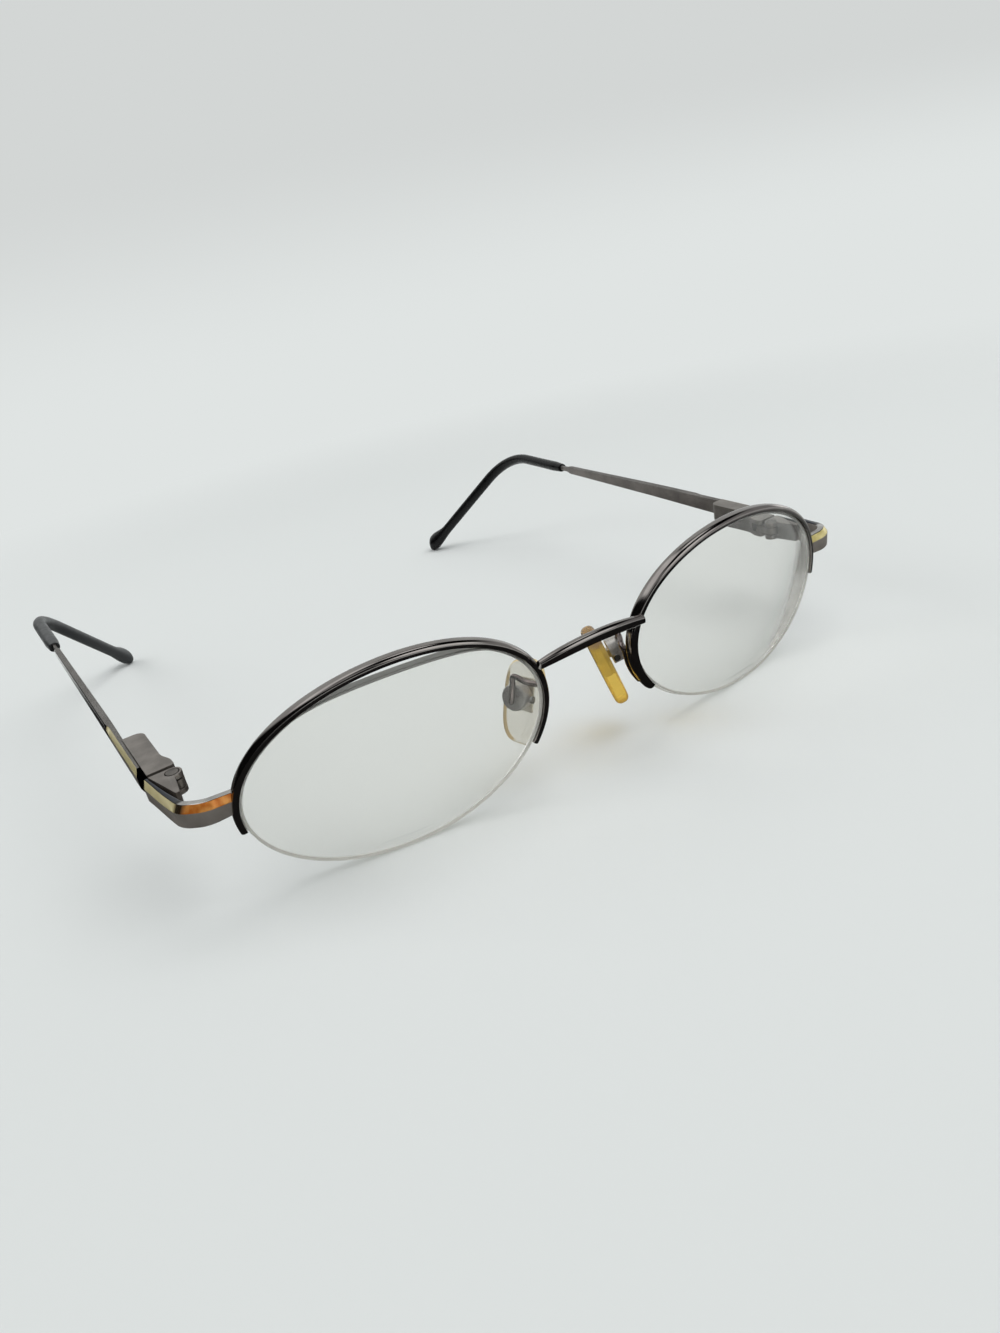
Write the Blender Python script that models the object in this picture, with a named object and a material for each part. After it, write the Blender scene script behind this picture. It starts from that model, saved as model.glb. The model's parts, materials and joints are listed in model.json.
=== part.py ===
# Semi-rimless oval eyeglasses: upper half rims, nylon cords, screwed nose pads
# and temples on sprung hinges. The front frame has its origin midway between the
# lenses, +X to the right of someone facing the front, +Y back along the temples
# and +Z up. Every piece is drawn for the right side and mirrored for the left.
# The last step leans the whole object until lenses and tips stand on the floor.

from math import atan2, cos, pi, radians, sin, sqrt

import bmesh
import bpy
from mathutils import Matrix, Vector

MM = 0.001

# Clearances
FIT = 0.15 * MM
SEAT = 0.2 * MM
BUTT_GAP = 0.3 * MM

# How far a cutter runs past the face that it opens
OVERRUN = 1.0 * MM

# Lenses
LENS_LENGTH = 48.0 * MM
LENS_HEIGHT = 31.2 * MM
LENS_SPACING = 66.8 * MM
LENS_TILT = radians(7.2)
FACE_WRAP = radians(9.2)
LENS_FRONT_RADIUS = 91.0 * MM
LENS_BACK_RADIUS = 76.0 * MM
LENS_THICKNESS = 1.8 * MM
GROOVE_DEPTH = 0.5 * MM
GROOVE_SETBACK = 1.05 * MM
EDGE_STEP = radians(7.5)

# Nylon cord and the nylon liner of the upper groove
CORD_DIAMETER = 0.6 * MM
LINER_WIDTH = 0.6 * MM

# Half rims, as angles round the lens from its temple end over the top
RIM_START = radians(-4.5)
RIM_END = radians(213.0)
RIM_WALL = 1.05 * MM
RIM_LIP = 0.35 * MM
RIM_DEPTH = 2.2 * MM
RIM_EDGE = 0.3 * MM
SLOT_DEPTH = 0.45 * MM
CORD_ENTRY = radians(9.0)

# Bridge
BRIDGE_ANGLE = radians(165.0)
BRIDGE_HEIGHT = 2.0 * MM
BRIDGE_DEPTH = 1.7 * MM
BRIDGE_RISE = 1.3 * MM
BRIDGE_BULGE = 0.9 * MM
BRIDGE_LAP = 0.25 * MM
BRIDGE_TAPER = 0.3

# Endpieces, from the rim round the corner to the hinge
ENDPIECE_ANGLE = radians(12.9)
ENDPIECE_REACH = 5.7 * MM
ENDPIECE_LENGTH = 15.1 * MM
ENDPIECE_DROP = 1.9 * MM
ENDPIECE_CORNER = 4.6 * MM
ENDPIECE_SPLAY = radians(8.4)
ENDPIECE_RIM_HEIGHT = 3.5 * MM
ENDPIECE_CORNER_HEIGHT = 3.8 * MM
ENDPIECE_THICKNESS = 1.9 * MM
BEVEL_WIDTH = 0.9 * MM
BEVEL_HEIGHT = 1.7 * MM
BEVEL_WIDTH_LIMIT = 0.6
BEVEL_HEIGHT_LIMIT = 0.4
SMALL_CHAMFER = 0.22 * MM

# Temples
BAR_HEIGHT = 3.9 * MM
BAR_THICKNESS = 1.5 * MM
BAR_END_HEIGHT = 1.9 * MM
BAR_END_THICKNESS = 1.2 * MM
BAR_LENGTH = 76.8 * MM
NECK_LENGTH = 3.0 * MM
NOTCH_LENGTH = 4.2 * MM
NOTCH_WALL = 0.5
CORE_HEIGHT = 1.3 * MM
CORE_THICKNESS = 0.8 * MM
CORE_HOLE_SHARE = 1.27
BEVEL_RUN = 22.0 * MM
TEMPLE_SPLAY = radians(1.0)
TEMPLE_PITCH = radians(-5.7)
BEND_START = 102.3 * MM
BEND_RADIUS = 11.0 * MM
BEND_ANGLE = radians(54.5)
BEND_LEAN = radians(36.0)
TIP_LENGTH = 36.0 * MM
TIP_WIDTH = 3.3 * MM
TIP_HEIGHT = 3.7 * MM
TIP_MOUTH = 0.82
TIP_MOUTH_LENGTH = 4.0 * MM
TIP_FLARE = 1.3 * MM
TIP_FLARE_LENGTH = 14.0 * MM
TIP_END_WALL = 8.0 * MM

# Sprung hinge, round a pin that stands on the pivot
OPEN_FLEX = radians(8.0)
PIVOT_IN = 3.6 * MM
PIVOT_AHEAD = 1.8 * MM
HINGE_HEIGHT = 3.5 * MM
KNUCKLE_RADIUS = 1.5 * MM
KNUCKLE_CLEARANCE = 0.45 * MM
EYE_HEIGHT = 1.4 * MM
PIN_RADIUS = 0.5 * MM
PIN_HEAD_RADIUS = 1.0 * MM
PIN_HEAD_HEIGHT = 0.45 * MM
BUSH_WALL = 0.3 * MM
LEAF_LENGTH = 8.5 * MM
HOUSING_LENGTH = 16.0 * MM
HOUSING_WIDTH = 2.8 * MM
HOUSING_FLARE = 0.9 * MM
HOUSING_FLARE_LENGTH = 3.2 * MM
HOUSING_WAVE_LENGTH = 3.6 * MM
HOUSING_CORNER = 0.4 * MM
MOUTH_DEPTH = 3.0 * MM
ROD_IN = 2.35 * MM
ROD_RADIUS = 0.4 * MM
ROD_END_RADIUS = 0.7 * MM
ROD_END_LENGTH = 0.7 * MM
BORE_RADIUS = 0.9 * MM
BORE_LENGTH = 9.2 * MM
STOP_LENGTH = 0.7 * MM
SPRING_LENGTH = 4.8 * MM
SLIDE_TRAVEL = 1.1 * MM
SPRING_WIRE = 0.2 * MM
SPRING_TURNS = 6
SPRING_STEPS = 8

# Nose pads and what holds them
PAD_BACK = 8.2 * MM
PAD_DROP = 7.4 * MM
PAD_SHIFT = 0.1 * MM
PAD_FRONTAL = radians(18.5)
PAD_SPLAY = radians(21.5)
PAD_LENGTH = 15.2 * MM
PAD_WIDTH = 7.6 * MM
PAD_THICKNESS = 2.4 * MM
PAD_ROUND = 0.8 * MM
PAD_SQUARENESS = 2.7
BOX_RISE = 1.9 * MM
BOX_RADIUS = 2.2 * MM
BOX_WALL = 0.5 * MM
BOX_DEPTH = 2.1 * MM
BOX_GAP = 0.45 * MM
INSERT_LENGTH = 5.6 * MM
INSERT_WIDTH = 3.2 * MM
INSERT_THICKNESS = 0.6 * MM
TONGUE_WIDTH = 1.0 * MM
TONGUE_LENGTH = 1.5 * MM
PAD_SCREW_RADIUS = 0.3 * MM
PAD_SCREW_HEAD = 0.6 * MM
ARM_RADIUS = 0.45 * MM
ARM_TOP_ANGLE = radians(188.0)
ARM_LOOP_RISE = 1.2 * MM
ARM_LOOP_BACK = 2.4 * MM

FINISHES = {
    "gunmetal": ((0.16, 0.155, 0.15), 1.0, 0.22),
    "steel": ((0.42, 0.41, 0.40), 1.0, 0.3),
    "nylon": ((0.85, 0.86, 0.86), 0.0, 0.35),
    "glass": ((0.86, 0.88, 0.87), 0.0, 0.05),
    "silicone": ((0.83, 0.66, 0.28), 0.0, 0.3),
    "black plastic": ((0.012, 0.012, 0.013), 0.0, 0.12),
}


def clear_scene():
    for item in list(bpy.data.objects):
        bpy.data.objects.remove(item, do_unlink=True)


def add_finish(name, finish):
    colour, metallic, roughness = FINISHES[finish]
    material = bpy.data.materials.new(name + " " + finish)
    material.use_nodes = True
    shader = material.node_tree.nodes["Principled BSDF"]
    shader.inputs["Base Color"].default_value = (*colour, 1.0)
    shader.inputs["Metallic"].default_value = metallic
    shader.inputs["Roughness"].default_value = roughness
    return material


def add_piece(name, skin, finish, side=1, parent=None, sharp=40.0):
    # The left piece is the right one's mirror image
    if side < 0:
        bmesh.ops.scale(skin, vec=(-1.0, 1.0, 1.0), verts=skin.verts)
    bmesh.ops.recalc_face_normals(skin, faces=skin.faces)
    if skin.calc_volume(signed=True) < 0.0:
        bmesh.ops.reverse_faces(skin, faces=skin.faces)
    mesh = bpy.data.meshes.new(name)
    skin.to_mesh(mesh)
    skin.free()
    mesh.shade_smooth()
    mesh.set_sharp_from_angle(angle=radians(sharp))
    mesh.materials.append(add_finish(name, finish))
    piece = bpy.data.objects.new(name, mesh)
    bpy.context.scene.collection.objects.link(piece)
    piece.parent = parent
    return piece


def add_frame(name, matrix, parent=None):
    frame = bpy.data.objects.new(name, None)
    bpy.context.scene.collection.objects.link(frame)
    frame.empty_display_size = 0.004
    frame.parent = parent
    frame.matrix_local = matrix
    return frame


def mirrored(matrix, side):
    flip = Matrix.Diagonal((side, 1.0, 1.0, 1.0))
    return flip @ matrix @ flip


def combine(piece, name, skin, side, operation):
    # The other solid stays hidden, as the guide of a Boolean
    guide = add_piece(name, skin, "steel", side, piece.parent)
    guide.hide_render = True
    guide.display_type = "WIRE"
    modifier = piece.modifiers.new(name, "BOOLEAN")
    modifier.operation = operation
    modifier.solver = "EXACT"
    modifier.object = guide


def cut(piece, name, skin, side):
    combine(piece, name, skin, side, "DIFFERENCE")


def join(piece, name, skin, side):
    combine(piece, name, skin, side, "UNION")


def skin_rings(rings):
    # Rings of equal length, joined one to the next and closed at both ends
    skin = bmesh.new()
    rows = [[skin.verts.new(point) for point in ring] for ring in rings]
    for near, far in zip(rows, rows[1:]):
        for i in range(len(near)):
            j = (i + 1) % len(near)
            skin.faces.new((near[i], near[j], far[j], far[i]))
    skin.faces.new(rows[0])
    skin.faces.new(rows[-1])
    return skin


def skin_outline(outline, low, high):
    # A flat outline in X and Y, carried from one height to another
    rings = [[Vector((x, y, z)) for x, y in outline] for z in (low, high)]
    return skin_rings(rings)


def skin_box(low, high):
    corners = ((low[0], low[1]), (high[0], low[1]), (high[0], high[1]), (low[0], high[1]))
    return skin_outline(corners, low[2], high[2])


def circle(radius, count, axis_u, axis_v, centre):
    ring = []
    for i in range(count):
        angle = 2.0 * pi * i / count
        ring.append(centre + axis_u * (radius * cos(angle)) + axis_v * (radius * sin(angle)))
    return ring


def skin_turned(profile, count, centre, axis):
    # Profile points are (distance along the axis, radius), outer side first
    axis = Vector(axis)
    axis_u = axis.orthogonal().normalized()
    axis_v = axis.cross(axis_u)
    rings = [circle(radius, count, axis_u, axis_v, Vector(centre) + axis * along)
             for along, radius in profile]
    return skin_rings(rings)


def skin_sleeve(inner, outer, count, low, high):
    # A ring standing on Z: out along the outer wall and back along the inner one
    skin = bmesh.new()
    profile = ((low, outer), (high, outer), (high, inner), (low, inner))
    rows = []
    for height, radius in profile:
        ring = circle(radius, count, Vector((1, 0, 0)), Vector((0, 1, 0)), Vector((0, 0, height)))
        rows.append([skin.verts.new(point) for point in ring])
    for k in range(4):
        near = rows[k]
        far = rows[(k + 1) % 4]
        for i in range(count):
            j = (i + 1) % count
            skin.faces.new((near[i], near[j], far[j], far[i]))
    return skin


def skin_wire(points, radius, count):
    # A round wire whose section turns as little as it can from point to point
    tangent = (points[1] - points[0]).normalized()
    axis_u = tangent.orthogonal().normalized()
    rings = []
    for i, point in enumerate(points):
        before = points[max(i - 1, 0)]
        after = points[min(i + 1, len(points) - 1)]
        tangent = (after - before).normalized()
        axis_u = (axis_u - tangent * axis_u.dot(tangent)).normalized()
        rings.append(circle(radius, count, axis_u, tangent.cross(axis_u), point))
    return skin_rings(rings)


def smooth_curve(knots, steps):
    # A Catmull-Rom curve through the knots
    padded = [knots[0] * 2.0 - knots[1]] + knots + [knots[-1] * 2.0 - knots[-2]]
    points = []
    for k in range(1, len(padded) - 2):
        before, near, far, after = padded[k - 1:k + 3]
        for i in range(steps):
            t = i / steps
            a = near * 2.0
            b = (far - before) * t
            c = (before * 2.0 - near * 5.0 + far * 4.0 - after) * (t * t)
            d = (near * 3.0 - before - far * 3.0 + after) * (t * t * t)
            points.append((a + b + c + d) * 0.5)
    points.append(knots[-1])
    return points


def ease(value):
    value = min(max(value, 0.0), 1.0)
    return value * value * (3.0 - 2.0 * value)


def sag(x, z, radius):
    return radius - sqrt(radius * radius - x * x - z * z)


def lens_oval(angle, share=1.0):
    # A point of the oval, or of a smaller copy of it, in the lens's own plane
    x = LENS_LENGTH / 2.0 * cos(angle) * share
    z = LENS_HEIGHT / 2.0 * sin(angle) * share
    return (x * cos(LENS_TILT) + z * sin(LENS_TILT), z * cos(LENS_TILT) - x * sin(LENS_TILT))


def lens_point(x, y, z):
    # From the right lens's own plane to the front frame
    return Vector((LENS_SPACING / 2.0 + x * cos(FACE_WRAP) - y * sin(FACE_WRAP),
                   x * sin(FACE_WRAP) + y * cos(FACE_WRAP), z))


def edge_point(angle, out, depth):
    # out is measured from the lens's edge in its plane, depth from its front edge
    x, z = lens_oval(angle)
    normal_x = cos(angle) / (LENS_LENGTH / 2.0)
    normal_z = sin(angle) / (LENS_HEIGHT / 2.0)
    size = sqrt(normal_x ** 2 + normal_z ** 2)
    normal_x = normal_x / size
    normal_z = normal_z / size
    out_x = normal_x * cos(LENS_TILT) + normal_z * sin(LENS_TILT)
    out_z = normal_z * cos(LENS_TILT) - normal_x * sin(LENS_TILT)
    y = sag(x, z, LENS_FRONT_RADIUS) + depth
    return lens_point(x + out_x * out, y, z + out_z * out)


def edge_angles(start, end):
    # Both ends, and every whole step between them
    first = int(start // EDGE_STEP) + 1
    last = int(-(-end // EDGE_STEP)) - 1
    return [start] + [k * EDGE_STEP for k in range(first, last + 1)] + [end]


def sweep_edge(section, start, end):
    return skin_rings([[edge_point(angle, out, depth) for out, depth in section]
                       for angle in edge_angles(start, end)])


def lens_gap():
    return FIT


def rim_outer():
    return lens_gap() + RIM_WALL


def groove_half():
    return max(LINER_WIDTH, CORD_DIAMETER) / 2.0 + FIT


def make_lens(side, parent):
    count = 48
    angles = [2.0 * pi * i / count for i in range(count)]
    skin = bmesh.new()

    def row(share, depth_of):
        ring = []
        for angle in angles:
            x, z = lens_oval(angle, share)
            ring.append(skin.verts.new(lens_point(x, depth_of(x, z), z)))
        return ring

    def front(x, z):
        return sag(x, z, LENS_FRONT_RADIUS)

    def back(x, z):
        return LENS_THICKNESS + sag(x, z, LENS_BACK_RADIUS)

    def edge_row(out, depth):
        return [skin.verts.new(edge_point(angle, out, depth)) for angle in angles]

    shares = (0.4, 0.75, 1.0)
    rows = [row(share, front) for share in shares]
    rows.append(edge_row(0.0, GROOVE_SETBACK - groove_half()))
    rows.append(edge_row(-GROOVE_DEPTH, GROOVE_SETBACK - groove_half()))
    rows.append(edge_row(-GROOVE_DEPTH, GROOVE_SETBACK + groove_half()))
    rows.append(edge_row(0.0, GROOVE_SETBACK + groove_half()))
    rows.extend(row(share, back) for share in reversed(shares))
    for near, far in zip(rows, rows[1:]):
        for i in range(count):
            j = (i + 1) % count
            skin.faces.new((near[i], near[j], far[j], far[i]))
    for ring, depth in ((rows[0], 0.0), (rows[-1], LENS_THICKNESS)):
        centre = skin.verts.new(lens_point(0.0, depth, 0.0))
        for i in range(count):
            skin.faces.new((ring[i], ring[(i + 1) % count], centre))
    return add_piece("lens_" + side_name(side), skin, "glass", side, parent, 50.0)


def make_rim(side, parent):
    inner = lens_gap()
    outer = rim_outer()
    front = -RIM_LIP
    rear = RIM_DEPTH - RIM_LIP
    slot_half = LINER_WIDTH / 2.0 + FIT
    slot_front = GROOVE_SETBACK - slot_half
    slot_rear = GROOVE_SETBACK + slot_half
    section = (
        (inner, front + RIM_EDGE / 2.0), (inner + RIM_EDGE / 2.0, front),
        (outer - RIM_EDGE, front), (outer, front + RIM_EDGE),
        (outer, rear - RIM_EDGE), (outer - RIM_EDGE, rear),
        (inner + RIM_EDGE / 2.0, rear), (inner, rear - RIM_EDGE / 2.0),
        (inner, slot_rear), (inner + SLOT_DEPTH, slot_rear),
        (inner + SLOT_DEPTH, slot_front), (inner, slot_front))
    skin = sweep_edge(section, RIM_START, RIM_END)
    return add_piece("rim_" + side_name(side), skin, "gunmetal", side, parent)


def make_liner(side, parent):
    low = -GROOVE_DEPTH + FIT
    high = lens_gap() + SLOT_DEPTH - FIT
    front = GROOVE_SETBACK - LINER_WIDTH / 2.0
    rear = GROOVE_SETBACK + LINER_WIDTH / 2.0
    section = ((low, front), (high, front), (high, rear), (low, rear))
    skin = sweep_edge(section, RIM_START + CORD_ENTRY, RIM_END - CORD_ENTRY)
    return add_piece("rim_liner_" + side_name(side), skin, "nylon", side, parent)


def make_cord(side, parent):
    # The cord's ends lie in the rim's slot, next to the liner's ends
    radius = CORD_DIAMETER / 2.0
    centre = -GROOVE_DEPTH + FIT + radius
    turn = 2.0 * SEAT / LENS_HEIGHT
    section = []
    for i in range(8):
        angle = 2.0 * pi * i / 8
        section.append((centre + radius * cos(angle), GROOVE_SETBACK + radius * sin(angle)))
    start = RIM_END - CORD_ENTRY + turn
    end = 2.0 * pi + RIM_START + CORD_ENTRY - turn
    skin = sweep_edge(section, start, end)
    return add_piece("nylon_cord_" + side_name(side), skin, "nylon", side, parent)


def make_bridge(parent):
    # The bar's ends lie on the front faces of both rims
    landing = edge_point(BRIDGE_ANGLE, rim_outer(), -RIM_LIP)
    half = landing.x + BRIDGE_LAP
    end_y = landing.y - SEAT - BRIDGE_DEPTH / 2.0
    rings = []
    count = 18
    for k in range(count + 1):
        share = 2.0 * k / count - 1.0
        arch = 1.0 - share * share
        centre = Vector((half * share, end_y - BRIDGE_BULGE * arch, landing.z + BRIDGE_RISE * arch))
        size = 1.0 - BRIDGE_TAPER * abs(share) ** 3
        ring = []
        for i in range(12):
            angle = 2.0 * pi * i / 12
            ring.append(centre + Vector((0.0, BRIDGE_DEPTH / 2.0 * size * cos(angle),
                                         BRIDGE_HEIGHT / 2.0 * size * sin(angle))))
        rings.append(ring)
    return add_piece("bridge", skin_rings(rings), "gunmetal", 1, parent)


def bar_section(thickness, height, bevel_width, bevel_height):
    # (outward, up) points, with the wide bevel on the upper outer edge
    x = thickness / 2.0
    z = height / 2.0
    c = SMALL_CHAMFER
    return ((x, -z + c), (x, z - bevel_height), (x - bevel_width, z), (-x + c, z),
            (-x, z - c), (-x, -z + c), (-x + c, -z), (x - c, -z))


def bevelled_bar(thickness, height):
    # The full bevel, or as much of it as a small bar has room for
    return bar_section(thickness, height, min(BEVEL_WIDTH, thickness * BEVEL_WIDTH_LIMIT),
                       min(BEVEL_HEIGHT, height * BEVEL_HEIGHT_LIMIT))


def endpiece_start():
    return edge_point(ENDPIECE_ANGLE, rim_outer() + SEAT, GROOVE_SETBACK)


def beside_rim(depth, height):
    # The place just clear of the rim's outer face at this depth and height
    low = RIM_START
    high = pi / 3.0
    for _ in range(24):
        middle = (low + high) / 2.0
        if edge_point(middle, rim_outer() + SEAT, depth).z < height:
            low = middle
        else:
            high = middle
    return edge_point(low, rim_outer() + SEAT, depth)


def butt_frame():
    # Where the right temple's bar meets its endpiece: +X out, +Y back, +Z up
    start = endpiece_start()
    place = start + Vector((ENDPIECE_REACH + ENDPIECE_LENGTH * sin(ENDPIECE_SPLAY),
                            ENDPIECE_LENGTH, -ENDPIECE_DROP))
    turn = Matrix.Rotation(-TEMPLE_SPLAY, 4, "Z") @ Matrix.Rotation(TEMPLE_PITCH, 4, "X")
    return Matrix.Translation(place) @ turn


def hinge_frame():
    return butt_frame() @ Matrix.Translation((-PIVOT_IN, -PIVOT_AHEAD, 0.0))


def make_endpiece(side, parent):
    start = endpiece_start()
    butt = butt_frame()
    end = butt @ Vector((0.0, -BUTT_GAP / 2.0, 0.0))
    side_way = Vector((end.x - start.x - ENDPIECE_REACH, end.y - start.y, 0.0)).normalized()
    corner = Vector((start.x + ENDPIECE_REACH, start.y, 0.0))
    turn = atan2(side_way.y, side_way.x)
    reach = ENDPIECE_CORNER * sin(turn / 2.0) / cos(turn / 2.0)
    arc_start = corner - Vector((reach, 0.0, 0.0))
    arc_centre = arc_start + Vector((0.0, ENDPIECE_CORNER, 0.0))
    stations = [(Vector((start.x, start.y, 0.0)), Vector((0.0, -1.0, 0.0)))]
    for k in range(7):
        angle = turn * k / 6
        outward = Vector((sin(angle), -cos(angle), 0.0))
        stations.append((arc_centre + outward * ENDPIECE_CORNER, outward))
    outward = Vector((side_way.y, -side_way.x, 0.0))
    arc_end = stations[-1][0]
    for share in (0.3, 0.6, 0.85):
        stations.append((arc_end.lerp(Vector((end.x, end.y, 0.0)), share), outward))
    butt_out = (butt.to_3x3() @ Vector((1.0, 0.0, 0.0))).normalized()
    stations.append((Vector((end.x, end.y, 0.0)), butt_out))
    lengths = [0.0]
    for near, far in zip(stations, stations[1:]):
        lengths.append(lengths[-1] + (far[0] - near[0]).length)
    corner_length = (lengths[1] + lengths[7]) / 2.0
    rings = []
    for (place, outward), length in zip(stations, lengths):
        if length < corner_length:
            share = length / corner_length
            height = ENDPIECE_RIM_HEIGHT + (ENDPIECE_CORNER_HEIGHT - ENDPIECE_RIM_HEIGHT) * ease(share)
            thickness = ENDPIECE_THICKNESS
            drop = 0.0
        else:
            share = (length - corner_length) / (lengths[-1] - corner_length)
            height = ENDPIECE_CORNER_HEIGHT + (BAR_HEIGHT - ENDPIECE_CORNER_HEIGHT) * ease(share)
            thickness = ENDPIECE_THICKNESS + (BAR_THICKNESS - ENDPIECE_THICKNESS) * ease(share)
            drop = (start.z - end.z) * share
        centre = Vector((place.x, place.y, start.z - drop))
        section = bevelled_bar(thickness, height)
        rings.append([centre + outward * x + Vector((0.0, 0.0, z)) for x, z in section])
    near = bevelled_bar(ENDPIECE_THICKNESS, ENDPIECE_RIM_HEIGHT)
    rings[0] = [beside_rim(GROOVE_SETBACK - x, start.z + z) for x, z in near]
    square = butt.to_3x3()
    rings[-1] = [end + square @ Vector((x, 0.0, z)) for x, z in bevelled_bar(BAR_THICKNESS, BAR_HEIGHT)]
    return add_piece("endpiece_" + side_name(side), skin_rings(rings), "gunmetal", side, parent)


def temple_station(length):
    # Centre, outward and upward axes of the temple at a length behind the butt joint
    back = Vector((0.0, 1.0, 0.0))
    lean = BEND_LEAN * ease((length - BAR_LENGTH) / (BEND_START - BAR_LENGTH))
    outward = Vector((cos(lean), 0.0, -sin(lean)))
    upward = Vector((sin(lean), 0.0, cos(lean)))
    centre = Vector((PIVOT_IN, PIVOT_AHEAD + min(length, BEND_START), 0.0))
    beyond = length - BEND_START
    if beyond <= 0.0:
        return centre, outward, upward
    turn = min(beyond / BEND_RADIUS, BEND_ANGLE)
    centre = centre + back * (BEND_RADIUS * sin(turn)) - upward * (BEND_RADIUS * (1.0 - cos(turn)))
    way = back * cos(turn) - upward * sin(turn)
    over = upward * cos(turn) + back * sin(turn)
    centre = centre + way * max(beyond - BEND_RADIUS * BEND_ANGLE, 0.0)
    return centre, outward, over


def temple_end():
    return BEND_START + BEND_RADIUS * BEND_ANGLE + TIP_LENGTH


def tip_start():
    return BAR_LENGTH + NECK_LENGTH


def tip_lengths(last):
    # Even steps along the straight, closer ones round the bend
    lengths = [tip_start(), tip_start() + TIP_MOUTH_LENGTH * 0.3, (tip_start() + BEND_START) / 2.0]
    for k in range(7):
        lengths.append(BEND_START + BEND_RADIUS * BEND_ANGLE * k / 6)
    bend_end = lengths[-1]
    for share in (0.3, 0.6, 0.8, 1.0):
        lengths.append(bend_end + (last - bend_end) * share)
    return lengths


def core_size(length):
    share = ease((length - BAR_LENGTH) / (NECK_LENGTH / 2.0))
    height = BAR_END_HEIGHT + (CORE_HEIGHT - BAR_END_HEIGHT) * share
    thickness = BAR_END_THICKNESS + (CORE_THICKNESS - BAR_END_THICKNESS) * share
    return thickness, height


def temple_front():
    # Far enough behind the butt joint for the temple to turn past its open position
    edge = PIVOT_IN - BAR_THICKNESS / 2.0 + BAR_THICKNESS * NOTCH_WALL
    limit = PIVOT_AHEAD - BUTT_GAP / 2.0 + FIT
    return (limit + edge * sin(OPEN_FLEX)) / cos(OPEN_FLEX) - PIVOT_AHEAD


def make_temple(side, parent):
    # The front end is cut at a slant on its outer side, which leaves a notch there
    front = temple_front()
    notch_end = front + NOTCH_LENGTH
    lengths = [front, notch_end, notch_end + BEVEL_RUN * 0.3, BEVEL_RUN, BAR_LENGTH * 0.6, BAR_LENGTH]
    lengths.append(BAR_LENGTH + NECK_LENGTH / 2.0)
    lengths.extend(tip_lengths(temple_end() - TIP_END_WALL))
    rings = []
    for length in lengths:
        centre, outward, upward = temple_station(length)
        if length <= BAR_LENGTH:
            share = length / BAR_LENGTH
            thickness = BAR_THICKNESS + (BAR_END_THICKNESS - BAR_THICKNESS) * share
            height = BAR_HEIGHT + (BAR_END_HEIGHT - BAR_HEIGHT) * share
        else:
            thickness, height = core_size(length)
        fade = 1.0 - ease(length / BEVEL_RUN)
        plain = bar_section(thickness, height, SMALL_CHAMFER, SMALL_CHAMFER)
        section = []
        for (plain_x, plain_z), (full_x, full_z) in zip(plain, bevelled_bar(thickness, height)):
            section.append((plain_x + (full_x - plain_x) * fade, plain_z + (full_z - plain_z) * fade))
        if length == front:
            section = [((x + thickness / 2.0) * NOTCH_WALL - thickness / 2.0, z) for x, z in section]
        rings.append([centre + outward * x + upward * z for x, z in section])
    return add_piece("temple_" + side_name(side), skin_rings(rings), "gunmetal", side, parent)


def make_tip(side, parent):
    # Outside from the round end to the mouth, then back in along the core's hole
    count = 10
    end = temple_end()
    rings = []
    outer = tip_lengths(end - TIP_FLARE_LENGTH)
    for share in (1.0, 0.985, 0.93, 0.82, 0.65, 0.4):
        outer.append(end - TIP_FLARE_LENGTH * (1.0 - share))
    flare_start = end - TIP_FLARE_LENGTH
    for length in sorted(outer, reverse=True):
        centre, outward, upward = temple_station(length)
        size = TIP_MOUTH + (1.0 - TIP_MOUTH) * ease((length - tip_start()) / TIP_MOUTH_LENGTH)
        flare = TIP_FLARE * ease((length - flare_start) / (TIP_FLARE_LENGTH * 0.6))
        nose = max(length - (end - TIP_HEIGHT / 2.0), 0.0) / (TIP_HEIGHT / 2.0)
        size = size * sqrt(max(1.0 - nose * nose, 0.03))
        centre = centre + upward * (flare / 2.0 * size)
        ring = []
        for i in range(count):
            angle = 2.0 * pi * i / count
            ring.append(centre + outward * (TIP_WIDTH / 2.0 * size * cos(angle))
                        + upward * ((TIP_HEIGHT + flare) / 2.0 * size * sin(angle)))
        rings.append(ring)
    # The hole is an oval just outside the core's cut corners
    for length in tip_lengths(end - TIP_END_WALL + SEAT):
        centre, outward, upward = temple_station(length)
        thickness, height = core_size(length)
        half_x = (thickness / 2.0 + FIT) * CORE_HOLE_SHARE
        half_z = (height / 2.0 + FIT) * CORE_HOLE_SHARE
        ring = []
        for i in range(count):
            angle = 2.0 * pi * i / count
            ring.append(centre + outward * (half_x * cos(angle)) + upward * (half_z * sin(angle)))
        rings.append(ring)
    return add_piece("temple_tip_" + side_name(side), skin_rings(rings), "black plastic", side, parent)


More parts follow.
